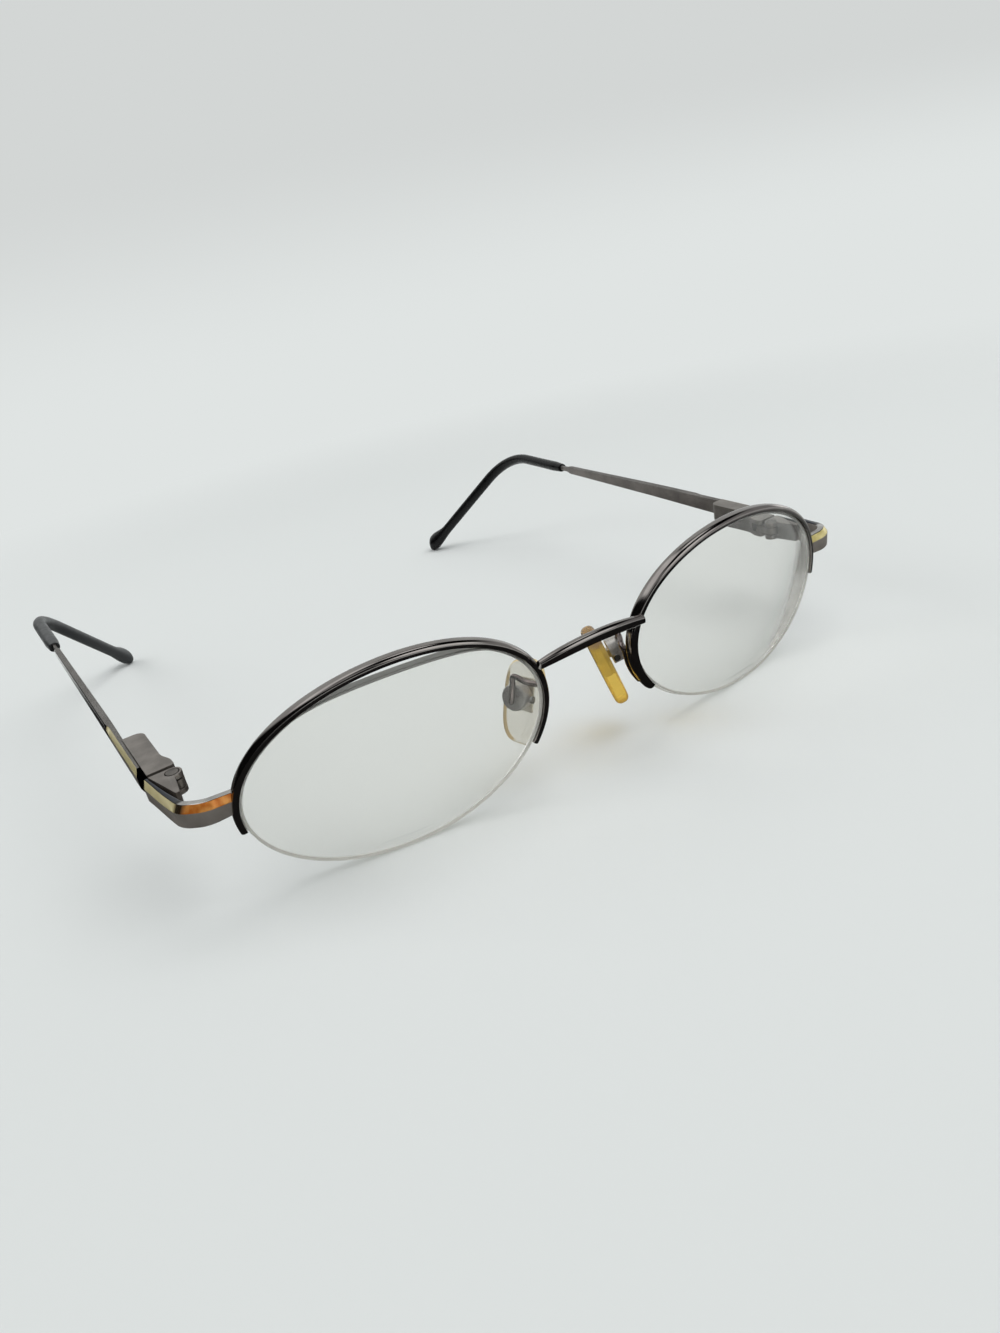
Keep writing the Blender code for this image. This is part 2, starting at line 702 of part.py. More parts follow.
def make_hinge_leaf(side, parent):
    # The plate brazed to the endpiece, with a lug above and below the slider's eye
    bar_face = PIVOT_IN - BAR_THICKNESS / 2.0 - SEAT
    front_end = PIVOT_AHEAD - LEAF_LENGTH
    slope = sin(ENDPIECE_SPLAY - TEMPLE_SPLAY)
    thicker = (ENDPIECE_THICKNESS - BAR_THICKNESS) / 2.0
    outline = [(bar_face, PIVOT_AHEAD - BUTT_GAP), (0.0, KNUCKLE_RADIUS)]
    for k in range(1, 8):
        angle = pi / 2.0 + pi * k / 8
        outline.append((KNUCKLE_RADIUS * cos(angle), KNUCKLE_RADIUS * sin(angle)))
    far_x = bar_face + slope * (front_end - PIVOT_AHEAD) - thicker
    outline.append((0.0, -KNUCKLE_RADIUS))
    outline.append((far_x * 0.5, front_end))
    outline.append((far_x, front_end))
    half = HINGE_HEIGHT / 2.0
    skin = skin_outline(outline, -half, half)
    leaf = add_piece("hinge_leaf_" + side_name(side), skin, "steel", side, parent, 30.0)
    gap = EYE_HEIGHT / 2.0 + FIT
    room = KNUCKLE_RADIUS + KNUCKLE_CLEARANCE
    slot = skin_box((-room, -room, -gap), (room, room * 2.0, gap))
    cut(leaf, "eye_slot_" + side_name(side), slot, side)
    head_floor = half - PIN_HEAD_HEIGHT - FIT
    hole = skin_turned(((-half * 1.5, PIN_RADIUS + FIT), (head_floor, PIN_RADIUS + FIT),
                        (head_floor, PIN_HEAD_RADIUS + FIT), (half * 1.5, PIN_HEAD_RADIUS + FIT)),
                       16, (0.0, 0.0, 0.0), (0.0, 0.0, 1.0))
    cut(leaf, "pin_hole_" + side_name(side), hole, side)
    return leaf


def make_hinge_screw(side, parent):
    half = HINGE_HEIGHT / 2.0
    floor = half - PIN_HEAD_HEIGHT
    profile = ((-half, PIN_RADIUS), (floor, PIN_RADIUS), (floor, PIN_HEAD_RADIUS), (half, PIN_HEAD_RADIUS))
    skin = skin_turned(profile, 16, (0.0, 0.0, 0.0), (0.0, 0.0, 1.0))
    return add_piece("hinge_screw_" + side_name(side), skin, "steel", side, parent)


def bush_inner():
    return PIN_RADIUS + FIT / 2.0


def bush_outer():
    return bush_inner() + BUSH_WALL


def make_hinge_bush(side, parent):
    half = EYE_HEIGHT / 2.0
    skin = skin_sleeve(bush_inner(), bush_outer(), 16, -half, half)
    return add_piece("hinge_bush_" + side_name(side), skin, "steel", side, parent)


def housing_front():
    return max(KNUCKLE_RADIUS + KNUCKLE_CLEARANCE, PIVOT_AHEAD + temple_front())


def bore_front():
    return housing_front() + MOUTH_DEPTH


def rod_x():
    return PIVOT_IN - ROD_IN


def stop_front():
    return bore_front() + SEAT


def spring_front():
    return stop_front() + STOP_LENGTH + SEAT


def rod_end_front():
    # The spring is drawn as short as it gets, so the rod's head has its travel free
    return spring_front() + SPRING_LENGTH + SEAT + SLIDE_TRAVEL


def make_slider(side, parent):
    # An eye on the bush, a flat neck that slides in the housing's mouth, and a rod
    half = EYE_HEIGHT / 2.0
    neck_end = bore_front() - SEAT * 2.0
    neck_half = ROD_END_RADIUS
    steps = 10
    outline = []
    for k in range(steps + 1):
        angle = -1.15 * pi + 1.3 * pi * k / steps
        outline.append((KNUCKLE_RADIUS * cos(angle), KNUCKLE_RADIUS * sin(angle)))
    outline.append((rod_x() + neck_half, bore_front() - MOUTH_DEPTH / 2.0))
    outline.append((rod_x() + neck_half, neck_end))
    outline.append((rod_x() - neck_half, neck_end))
    outline.append((-KNUCKLE_RADIUS * 0.7, bore_front() - MOUTH_DEPTH / 2.0))
    skin = skin_outline(outline, -half, half)
    slider = add_piece("hinge_slider_" + side_name(side), skin, "steel", side, parent, 30.0)
    overlap = MOUTH_DEPTH / 4.0
    rod = skin_turned(((neck_end - overlap, ROD_RADIUS), (rod_end_front(), ROD_RADIUS),
                       (rod_end_front(), ROD_END_RADIUS),
                       (rod_end_front() + ROD_END_LENGTH, ROD_END_RADIUS)),
                      12, (rod_x(), 0.0, 0.0), (0.0, 1.0, 0.0))
    join(slider, "slider_rod_" + side_name(side), rod, side)
    hole = skin_turned(((-half * 2.0, bush_outer() + FIT / 2.0), (half * 2.0, bush_outer() + FIT / 2.0)),
                       16, (0.0, 0.0, 0.0), (0.0, 0.0, 1.0))
    cut(slider, "eye_hole_" + side_name(side), hole, side)
    return slider


def make_spring_stop(side, parent):
    skin = skin_sleeve(ROD_RADIUS + FIT, BORE_RADIUS - FIT, 12, 0.0, STOP_LENGTH)
    bmesh.ops.rotate(skin, cent=(0.0, 0.0, 0.0), matrix=Matrix.Rotation(-pi / 2.0, 3, "X"),
                     verts=skin.verts)
    bmesh.ops.translate(skin, vec=(rod_x(), stop_front(), 0.0), verts=skin.verts)
    return add_piece("spring_stop_" + side_name(side), skin, "steel", side, parent)


def make_spring(side, parent):
    radius = (ROD_RADIUS + BORE_RADIUS) / 2.0 - SPRING_WIRE / 4.0
    steps = SPRING_TURNS * SPRING_STEPS
    travel = SPRING_LENGTH - SPRING_WIRE
    points = []
    for k in range(steps + 1):
        angle = 2.0 * pi * k / SPRING_STEPS
        along = spring_front() + SPRING_WIRE / 2.0 + travel * k / steps
        points.append(Vector((rod_x() + radius * cos(angle), along, radius * sin(angle))))
    skin = skin_wire(points, SPRING_WIRE / 2.0, 4)
    return add_piece("hinge_spring_" + side_name(side), skin, "steel", side, parent)


def make_housing(side, parent):
    # A flat-topped box on the temple's inner face that widens towards the pivot
    outer = PIVOT_IN - BAR_THICKNESS / 2.0 - SEAT
    rear = housing_front() + HOUSING_LENGTH
    inner = outer - HOUSING_WIDTH
    wide = inner - HOUSING_FLARE
    front = housing_front()
    outline = [(outer, front), (wide + HOUSING_CORNER, front), (wide, front + HOUSING_CORNER)]
    for k in range(6):
        share = k / 5
        outline.append((wide + HOUSING_FLARE * ease(share),
                        front + HOUSING_FLARE_LENGTH * 0.5 + HOUSING_WAVE_LENGTH * share))
    corner = HOUSING_WIDTH * 0.55
    for k in range(5):
        angle = pi / 2.0 * k / 4
        outline.append((inner + corner - corner * cos(angle), rear - corner + corner * sin(angle)))
    outline.append((outer, rear))
    half = HINGE_HEIGHT / 2.0
    skin = skin_outline(outline, -half, half)
    housing = add_piece("spring_housing_" + side_name(side), skin, "steel", side, parent, 30.0)
    mouth_half = EYE_HEIGHT / 2.0 + FIT
    mouth_x = KNUCKLE_RADIUS + KNUCKLE_CLEARANCE
    mouth = skin_box((-mouth_x, front - OVERRUN, -mouth_half),
                     (rod_x() + ROD_END_RADIUS + FIT * 2.0, bore_front(), mouth_half))
    cut(housing, "housing_mouth_" + side_name(side), mouth, side)
    bore = skin_turned(((bore_front() - MOUTH_DEPTH / 4.0, BORE_RADIUS),
                        (bore_front() + BORE_LENGTH, BORE_RADIUS)),
                       12, (rod_x(), 0.0, 0.0), (0.0, 1.0, 0.0))
    cut(housing, "housing_bore_" + side_name(side), bore, side)
    return housing


def pad_frame():
    # Local +X out through the pad's back, +Y back along its width, +Z up its length
    nasal = edge_point(pi, rim_outer(), 0.0)
    place = nasal + Vector((PAD_SHIFT, PAD_BACK, -PAD_DROP))
    turn = Matrix.Rotation(-PAD_SPLAY, 4, "Z") @ Matrix.Rotation(-PAD_FRONTAL, 4, "Y")
    return Matrix.Translation(place) @ turn


def box_mouth():
    return PAD_THICKNESS / 2.0 + BOX_GAP


def box_back():
    return box_mouth() + BOX_DEPTH


def pad_screw_x():
    return box_back() - BOX_WALL - SEAT - TONGUE_LENGTH / 2.0


def pad_pivot_frame():
    return pad_frame() @ Matrix.Translation((pad_screw_x(), 0.0, BOX_RISE))


def from_pad(x, y, z):
    # A point of the pad's own frame, seen from the pad's screw
    return Vector((x - pad_screw_x(), y, z - BOX_RISE))


def make_pad(side, parent):
    count = 28
    levels = ((-PAD_THICKNESS / 2.0, PAD_ROUND), (-PAD_THICKNESS * 0.22, 0.0),
              (PAD_THICKNESS * 0.22, 0.0), (PAD_THICKNESS / 2.0, PAD_ROUND))
    rings = []
    for x, inset in levels:
        ring = []
        for i in range(count):
            angle = 2.0 * pi * i / count
            power = 2.0 / PAD_SQUARENESS
            y = abs(cos(angle)) ** power * (PAD_WIDTH / 2.0 - inset) * (1 if cos(angle) >= 0 else -1)
            z = abs(sin(angle)) ** power * (PAD_LENGTH / 2.0 - inset) * (1 if sin(angle) >= 0 else -1)
            ring.append(from_pad(x, y, z))
        rings.append(ring)
    pad = add_piece("nose_pad_" + side_name(side), skin_rings(rings), "silicone", side, parent, 60.0)
    half_x = INSERT_THICKNESS / 2.0 + FIT
    low = from_pad(-half_x, -INSERT_WIDTH / 2.0 - FIT, BOX_RISE - INSERT_LENGTH / 2.0 - FIT)
    high = from_pad(half_x, INSERT_WIDTH / 2.0 + FIT, BOX_RISE + INSERT_LENGTH / 2.0 + FIT)
    cut(pad, "insert_pocket_" + side_name(side), skin_box(low, high), side)
    low = from_pad(0.0, -TONGUE_WIDTH / 2.0 - FIT, BOX_RISE - TONGUE_LENGTH / 2.0 - FIT)
    high = from_pad(PAD_THICKNESS, TONGUE_WIDTH / 2.0 + FIT, BOX_RISE + TONGUE_LENGTH / 2.0 + FIT)
    cut(pad, "tongue_slot_" + side_name(side), skin_box(low, high), side)
    return pad


def make_pad_insert(side, parent):
    # A plate in the silicone, and a tongue that carries the eye out to the screw
    half_x = INSERT_THICKNESS / 2.0
    low = from_pad(-half_x, -INSERT_WIDTH / 2.0, BOX_RISE - INSERT_LENGTH / 2.0)
    high = from_pad(half_x, INSERT_WIDTH / 2.0, BOX_RISE + INSERT_LENGTH / 2.0)
    insert = add_piece("pad_insert_" + side_name(side), skin_box(low, high), "steel", side, parent, 30.0)
    tongue = TONGUE_LENGTH / 2.0
    points = [(0.0, tongue), (0.0, -tongue)]
    for k in range(7):
        angle = -pi / 2.0 + pi * k / 6
        points.append((pad_screw_x() + tongue * cos(angle), tongue * sin(angle)))
    rings = [[from_pad(x, y, BOX_RISE + z) for x, z in points]
             for y in (-TONGUE_WIDTH / 2.0, TONGUE_WIDTH / 2.0)]
    join(insert, "insert_tongue_" + side_name(side), skin_rings(rings), side)
    hole = skin_turned(((-TONGUE_WIDTH, PAD_SCREW_RADIUS + FIT), (TONGUE_WIDTH, PAD_SCREW_RADIUS + FIT)),
                       12, (0.0, 0.0, 0.0), (0.0, 1.0, 0.0))
    cut(insert, "insert_eye_" + side_name(side), hole, side)
    return insert


def make_pad_box(side, parent):
    # A round cup open towards the pad, crossed by the pad's screw
    count = 20
    mouth = box_mouth() - pad_screw_x()
    back = box_back() - pad_screw_x()
    inner = BOX_RADIUS - BOX_WALL
    skin = skin_turned(((back - BOX_WALL, inner), (mouth, inner), (mouth, BOX_RADIUS),
                        (back - BOX_WALL / 2.0, BOX_RADIUS), (back, BOX_RADIUS - BOX_WALL / 2.0)),
                       count, (0.0, 0.0, 0.0), (1.0, 0.0, 0.0))
    box = add_piece("pad_box_" + side_name(side), skin, "steel", side, parent)
    reach = BOX_RADIUS + OVERRUN
    hole = skin_turned(((-reach, PAD_SCREW_RADIUS + FIT), (reach, PAD_SCREW_RADIUS + FIT)),
                       12, (0.0, 0.0, 0.0), (0.0, 1.0, 0.0))
    cut(box, "box_hole_" + side_name(side), hole, side)
    return box


def make_pad_screw(side, parent):
    head = -BOX_RADIUS - SEAT
    profile = ((head - PAD_SCREW_HEAD * 0.6, PAD_SCREW_HEAD), (head, PAD_SCREW_HEAD),
               (head, PAD_SCREW_RADIUS), (BOX_RADIUS, PAD_SCREW_RADIUS))
    skin = skin_turned(profile, 12, (0.0, 0.0, 0.0), (0.0, 1.0, 0.0))
    return add_piece("pad_screw_" + side_name(side), skin, "steel", side, parent)


def make_pad_arm(side, parent):
    # Up along the back of the rim, over in a loop, and down the back of the pad's box
    out = lens_gap() + RIM_WALL / 2.0
    depth = RIM_DEPTH - RIM_LIP + SEAT + ARM_RADIUS
    knots = []
    lowest = RIM_END - radians(2.0)
    for k in range(4):
        angle = lowest + (ARM_TOP_ANGLE - lowest) * k / 3
        knots.append(edge_point(angle, out, depth))
    frame = pad_frame()
    lap = box_back() + SEAT + ARM_RADIUS
    lap_top = frame @ Vector((lap, 0.0, BOX_RISE + BOX_RADIUS * 0.9))
    lap_end = frame @ Vector((lap, 0.0, BOX_RISE - BOX_RADIUS * 0.5))
    crest = (knots[-1] + lap_top) / 2.0
    crest.z = knots[-1].z + ARM_LOOP_RISE
    knots.append(knots[-1] + Vector((0.0, ARM_LOOP_BACK * 0.35, ARM_LOOP_RISE * 0.8)))
    knots.append(crest + Vector((0.0, ARM_LOOP_BACK * 0.15, 0.0)))
    knots.append(lap_top + Vector((-ARM_RADIUS, 0.0, ARM_LOOP_BACK * 0.7)))
    knots.append(lap_top)
    knots.append(lap_end)
    points = smooth_curve(knots, 3)
    skin = skin_wire(points, ARM_RADIUS, 8)
    return add_piece("pad_arm_" + side_name(side), skin, "steel", side, parent)


def side_name(side):
    return "right" if side > 0 else "left"


def lowest_point(pieces):
    best = None
    for piece in pieces:
        for vertex in piece.data.vertices:
            point = piece.matrix_world @ vertex.co
            if best is None or point.z < best.z:
                best = point
    return best


def stand_up(root, front_pieces, tips):
    # Lean the glasses until cords and tips touch the floor, centred over the origin
    lean = 0.0
    for _ in range(6):
        root.matrix_local = Matrix.Rotation(lean, 4, "X")
        bpy.context.view_layer.update()
        near = lowest_point(front_pieces)
        far = lowest_point(tips)
        lean -= atan2(far.z - near.z, far.y - near.y)
    root.matrix_local = Matrix.Rotation(lean, 4, "X")
    bpy.context.view_layer.update()
    low_z = min(lowest_point(front_pieces).z, lowest_point(tips).z)
    reach = [(piece.matrix_world @ vertex.co).y for piece in bpy.data.objects
             if piece.type == "MESH" and not piece.hide_render for vertex in piece.data.vertices]
    middle = (min(reach) + max(reach)) / 2.0
    root.matrix_local = Matrix.Translation((0.0, -middle, -low_z)) @ Matrix.Rotation(lean, 4, "X")
    bpy.context.view_layer.update()


def build():
    clear_scene()
    root = add_frame("front_frame", Matrix.Identity(4))
    make_bridge(root)
    standing = []
    tips = []
    for side in (1, -1):
        make_lens(side, root)
        make_rim(side, root)
        make_liner(side, root)
        standing.append(make_cord(side, root))
        make_endpiece(side, root)
        make_pad_arm(side, root)
        pad_pivot = add_frame("pad_pivot_" + side_name(side), mirrored(pad_pivot_frame(), side), root)
        make_pad_box(side, pad_pivot)
        make_pad_screw(side, pad_pivot)
        make_pad_insert(side, pad_pivot)
        make_pad(side, pad_pivot)
        hinge = add_frame("hinge_pivot_" + side_name(side), mirrored(hinge_frame(), side), root)
        make_hinge_leaf(side, hinge)
        make_hinge_screw(side, hinge)
        make_hinge_bush(side, hinge)
        make_slider(side, hinge)
        make_spring_stop(side, hinge)
        make_spring(side, hinge)
        make_housing(side, hinge)
        make_temple(side, hinge)
        tips.append(make_tip(side, hinge))
    stand_up(root, standing, tips)


build()
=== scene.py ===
import json

import bmesh
import bpy
import numpy as np
from mathutils import Matrix, Vector


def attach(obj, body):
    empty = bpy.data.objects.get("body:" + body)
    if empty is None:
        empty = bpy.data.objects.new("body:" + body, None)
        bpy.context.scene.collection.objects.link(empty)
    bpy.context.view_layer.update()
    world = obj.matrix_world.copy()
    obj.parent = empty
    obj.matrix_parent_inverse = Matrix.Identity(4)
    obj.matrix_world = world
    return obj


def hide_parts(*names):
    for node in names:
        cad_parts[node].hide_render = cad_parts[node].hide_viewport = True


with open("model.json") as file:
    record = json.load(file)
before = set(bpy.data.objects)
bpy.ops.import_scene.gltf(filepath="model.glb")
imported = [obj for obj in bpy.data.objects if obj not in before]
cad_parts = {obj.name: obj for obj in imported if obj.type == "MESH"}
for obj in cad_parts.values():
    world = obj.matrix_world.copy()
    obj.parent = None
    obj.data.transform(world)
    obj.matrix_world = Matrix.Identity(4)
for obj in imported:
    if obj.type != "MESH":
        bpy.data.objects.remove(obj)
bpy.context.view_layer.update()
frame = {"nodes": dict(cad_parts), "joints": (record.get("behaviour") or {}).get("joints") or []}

mm = 0.001
sides = {"right": 1, "left": -1}
gaps = {"fit": 0.15, "seat": 0.2, "butt": 0.3}   # the clearances of the solids
joined = 0.1   # how far a brazed piece reaches into what carries it


# Frames

def turnAbout(axis, degrees):
    # A rotation matrix from one axis letter and an angle.
    return np.array(Matrix.Rotation(np.radians(degrees), 3, axis))


def unit(vectors):
    # Each vector over its own length.
    return vectors / np.linalg.norm(vectors, axis=-1, keepdims=True)


def smoothStep(value):
    # 3 v^2 - 2 v^3 between 0 and 1.
    value = np.clip(value, 0.0, 1.0)
    return value * value * (3.0 - 2.0 * value)


def between(pair, share):
    # A share of the way from the first value to the second.
    return pair[0] + (pair[1] - pair[0]) * share


def circle(count):
    # Cosines and sines of even steps round a circle.
    around = np.linspace(0.0, 2 * np.pi, count, endpoint=False)
    return np.cos(around), np.sin(around)


def inPlace(points, origin, rotation):
    # Points of a local frame, seen from the frame that holds its origin and axes.
    return points @ rotation.T + origin


# Degrees round a lens count from its temple side, over the top to the nose
lens = {"length": 48.0, "height": 31.2, "spacing": 66.8, "tilt": 7.2, "wrap": 9.2,
        "frontRadius": 91.0, "backRadius": 76.0, "thickness": 1.8, "grooveDepth": 0.5,
        "grooveSetback": 1.05, "grooveLip": 0.08, "grooveSlope": 0.15, "chamfer": 0.12,
        "steps": 224, "rings": 20, "flatAt": 99.0, "flatHalf": 40.0, "flatDepth": {-1: 1.45, 1: 0.0},
        "rimShadeFrom": 19.0, "rimShadeTo": 24.5}   # the last two are heights above the floor
rim = {"start": -4.5, "end": 213.0, "wall": 1.05, "lip": 0.35, "depth": 2.2, "slot": 0.45,
       "square": 3.0, "steps": 200, "outlineSteps": 33, "endSize": 0.86, "endReach": 0.12}
strand = {"diameter": 0.6, "width": 0.6, "entry": 9.0, "apart": 1.0, "round": 0.1,
          "linerSteps": 160, "cordSteps": 180, "cordSides": 16}   # cord and liner


def sag(x, z, radius):
    # How far a sphere falls back at a place on its face: r - sqrt(r^2 - x^2 - z^2).
    return radius - np.sqrt(radius * radius - x * x - z * z)


def turned(x, z, degrees):
    # A flat point turned clockwise by an angle.
    c, s = np.cos(np.radians(degrees)), np.sin(np.radians(degrees))
    return x * c + z * s, z * c - x * s


def lensPoint(x, y, z):
    # A point of the right lens's plane: turned by the face wrap, moved half the spacing out.
    c, s = np.cos(np.radians(lens["wrap"])), np.sin(np.radians(lens["wrap"]))
    across = lens["spacing"] / 2 + x * c - y * s
    return np.stack(np.broadcast_arrays(across, x * s + y * c, z), -1)


def lensOval(degrees):
    # The tilted ellipse of the lens's edge and its outward normal.
    angle = np.radians(degrees)
    half, tall = lens["length"] / 2, lens["height"] / 2
    x, z = turned(half * np.cos(angle), tall * np.sin(angle), lens["tilt"])
    normal = unit(np.stack((np.cos(angle) / half, np.sin(angle) / tall), -1))
    outX, outZ = turned(normal[..., 0], normal[..., 1], lens["tilt"])
    return x, z, outX, outZ


def edgePoint(degrees, out, depth):
    # A point beside the lens's edge: out along the oval's normal, and back by a depth.
    x, z, outX, outZ = lensOval(degrees)
    return lensPoint(x + outX * out, sag(x, z, lens["frontRadius"]) + depth, z + outZ * out)


lensAxis = lensPoint(0.0, 1.0, 0.0) - lensPoint(0.0, 0.0, 0.0)
rimOuter = gaps["fit"] + rim["wall"]
rimBack = rim["depth"] - rim["lip"]
grooveHalf = strand["width"] / 2 + gaps["fit"]
grooveNear = lens["grooveSetback"] - grooveHalf
grooveFar = lens["grooveSetback"] + grooveHalf

endpiece = {"angle": 12.9, "reach": 5.7, "length": 15.1, "drop": 1.9, "corner": 4.6, "splay": 8.4,
            "rimHeight": 3.5, "cornerHeight": 3.8, "thickness": 1.9, "bevelWidth": (0.72, 0.48),
            "bevelHeight": (1.05, 1.5), "chamfer": 0.22, "round": 0.14, "thinned": 0.35,
            "sunk": 0.4, "ease": 1.5, "arcSteps": 28, "runSteps": 20, "rimSteps": 10, "endSteps": 4,
            "intoRim": 0.3}
bar = {"height": 3.9, "thickness": 1.5, "endHeight": 1.9, "endThickness": 1.2, "length": 75.2,
       "neck": 4.6, "notch": 4.2, "notchWall": 0.5, "coreHeight": 1.3, "coreThickness": 0.8,
       "bevelRun": 26.0, "bevelStop": 2.2, "splay": 1.0, "pitch": -5.7, "bendStart": 97.66,
       "bendRadius": 20.0, "bend": 54.5, "lean": 36.0, "round": 0.1, "thinRun": 30.0,
       "sinkRun": 45.0, "steps": (18, 8, 40, 12, 60)}
hinge = {"in": 3.6, "ahead": 1.8, "flex": 8.0, "leafFace": 1.4, "leafSlant": 0.11}   # slant per mm

endpieceStart = edgePoint(endpiece["angle"], rimOuter + gaps["seat"], lens["grooveSetback"])
buttOrigin = endpieceStart + np.array((
    endpiece["reach"] + endpiece["length"] * np.sin(np.radians(endpiece["splay"])),
    endpiece["length"], -endpiece["drop"]))
buttTurn = turnAbout("Z", -bar["splay"]) @ turnAbout("X", bar["pitch"])
pivot = inPlace(np.array((-hinge["in"], -hinge["ahead"], 0.0)), buttOrigin, buttTurn)


def backwardLean(axis):
    # How far an upright axis leans back, in radians.
    return np.arctan2(-axis[1], axis[2])


# The front leans back until cords and tips touch the floor: the fold joint says how far
fold = next(j for j in frame["joints"] if j["name"] == "temple_fold_right")
leanTurn = turnAbout("X", np.degrees(backwardLean(fold["axis"]) - backwardLean(buttTurn[:, 2])))
leanOrigin = np.array(fold["pos_m"]) - leanTurn @ (pivot * mm)


def toWorld(points, side):
    # Front-frame millimetres to the row frame: mirrored, leaned back and scaled to metres.
    return (points * (side * mm, mm, mm)) @ leanTurn.T + leanOrigin


def hingePlace(points):
    # The hinge's frame stands on its pin, turned as the temple is.
    return inPlace(points, pivot, buttTurn)


# Meshes

def addObject(name, data):
    # An object at the origin, in the scene.
    thing = bpy.data.objects.new(name, data)
    bpy.context.scene.collection.objects.link(thing)
    return thing


def settle(piece, body, node):
    # The piece rides on its body and stands for its solid.
    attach(piece, body)
    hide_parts(node)


def addPiece(name, points, faces, faceSlots, side, body, materials, sharp, node=None):
    # A mesh in the row frame whose faces point outwards, in place of the solid of its name or
    # of another node.
    mesh = bpy.data.meshes.new(name)
    mesh.from_pydata(toWorld(points, side).tolist(), [], faces)
    for material in materials:
        mesh.materials.append(material)
    mesh.polygons.foreach_set("material_index", np.asarray(faceSlots, np.int32))
    shell = bmesh.new()
    shell.from_mesh(mesh)
    if shell.calc_volume(signed=True) < 0.0:
        bmesh.ops.reverse_faces(shell, faces=shell.faces)
    shell.to_mesh(mesh)
    shell.free()
    mesh.shade_smooth()
    mesh.set_sharp_from_angle(angle=np.radians(sharp))
    settle(addObject(name, mesh), body, node or name)


def ringFaces(rows, cols):
    # Quads between each ring of points and the next.
    index = np.arange(rows * cols).reshape(rows, cols)
    near, far = index[:-1], index[1:]
    quads = np.stack((near, np.roll(near, -1, 1), np.roll(far, -1, 1), far), -1)
    return quads.reshape(-1, 4).tolist()


def addRings(name, rings, side, body, materials, facets=0, sharp=35.0, node=None):
    # Rings of points (rows, columns, 3) with flat ends, and a finish for each strip.
    rows, cols = rings.shape[:2]
    strips = np.broadcast_to(facets, (rows - 1, cols))
    ends = [list(range(cols))[::-1], list(range((rows - 1) * cols, rows * cols))]
    faceSlots = [*strips.reshape(-1).tolist(), int(strips[0, -1]), int(strips[-1, -1])]
    addPiece(name, rings.reshape(-1, 3), ringFaces(rows, cols) + ends, faceSlots, side, body,
             materials, sharp, node)


def rounded(corners, radius, steps=4, most=0.45):
    # Each corner of a closed outline (..., n, 2) as a parabola between its two tangent points,
    # which take up no more than a set share of the edge between two corners.
    corners = np.asarray(corners, float)
    tangents = []
    for way in (1, -1):
        edge = np.roll(corners, way, -2) - corners
        size = np.linalg.norm(edge, axis=-1, keepdims=True)
        tangents.append(corners + edge / size * np.minimum(radius, most * size))
    start, end = (points[..., None, :] for points in tangents)
    t = np.linspace(0.0, 1.0, steps)[:, None]
    curve = (1 - t) ** 2 * start + 2 * t * (1 - t) * corners[..., None, :] + t ** 2 * end
    return curve.reshape(*corners.shape[:-2], -1, 2)


def roundedSlots(facets, steps=4):
    # The finish of each strip of a rounded outline, split in the middle of each corner.
    facets = np.asarray(facets)
    own = np.repeat(facets[:, None], steps, 1)
    own[:, :(steps - 1) // 2] = np.roll(facets, 1)[:, None]
    return own.reshape(-1)


def superRing(count, square):
    # A closed superellipse of unit half axes: |x|^n + |z|^n = 1.
    c, s = circle(count)
    return np.sign(c) * np.abs(c) ** (2 / square), np.sign(s) * np.abs(s) ** (2 / square)


def sweptEdge(outline, start, end, steps):
    # A closed (out, depth) outline carried round the lens's edge.
    angles = np.linspace(start, end, steps)[:, None]
    return edgePoint(np.broadcast_to(angles, (steps, len(outline))), outline[:, 0], outline[:, 1])


def alongPath(centre, outward, upward, section):
    # Section points carried along a path: centre + outward * x + upward * y.
    return centre[:, None] + outward[:, None] * section[..., 0:1] + upward[:, None] * section[..., 1:2]


def bevelled(thickness, height, bevelWidth, bevelHeight, chamfer):
    # Eight corners (outward, up) of a bar with a wide bevel on its upper outer edge. The faces
    # in turn: outer, bevel, top, chamfer, inner, chamfer, underside, chamfer.
    x, z, c = thickness / 2, height / 2, chamfer
    rows = ((x, -z + c), (x, z - bevelHeight), (x - bevelWidth, z), (-x + c, z),
            (-x, z - c), (-x, -z + c), (-x + c, -z), (x - c, -z))
    return np.stack([np.stack(np.broadcast_arrays(*row), -1) for row in rows], -2)


# Materials

def linear(hexCode):
    # A six-digit sRGB code as linear red, green, blue and one.
    value = np.array([int(hexCode[i:i + 2], 16) for i in (1, 3, 5)]) / 255
    colour = np.where(value <= 0.04045, value / 12.92, ((value + 0.055) / 1.055) ** 2.4)
    return (*colour.tolist(), 1.0)


def addNode(tree, kind, links=None, **settings):
    # A node with its settings. A socket takes a link, a value or an sRGB code.
    node = tree.nodes.new(kind)
    for key, value in settings.items():
        setattr(node, key, value)
    for socket, value in (links or {}).items():
        if isinstance(value, bpy.types.NodeSocket):
            tree.links.new(value, node.inputs[socket])
        else:
            node.inputs[socket].default_value = linear(value) if isinstance(value, str) else value
    return node


def newMaterial(name, inputs):
    # A Principled shader with its inputs set, joined to the output, and the place on the piece.
    material = bpy.data.materials.new(name)
    material.use_nodes = True
    tree = material.node_tree
    tree.nodes.clear()
    shader = addNode(tree, "ShaderNodeBsdfPrincipled", inputs)
    output = addNode(tree, "ShaderNodeOutputMaterial", {"Surface": shader.outputs["BSDF"]})
    place = addNode(tree, "ShaderNodeTexCoord").outputs["Object"]
    return material, tree, shader, output, place


# Between which values most of each noise lies
noiseSpread = {"clouds": (0.35, 0.65), "lines": (0.3, 0.7), "film": (0.4, 0.7)}


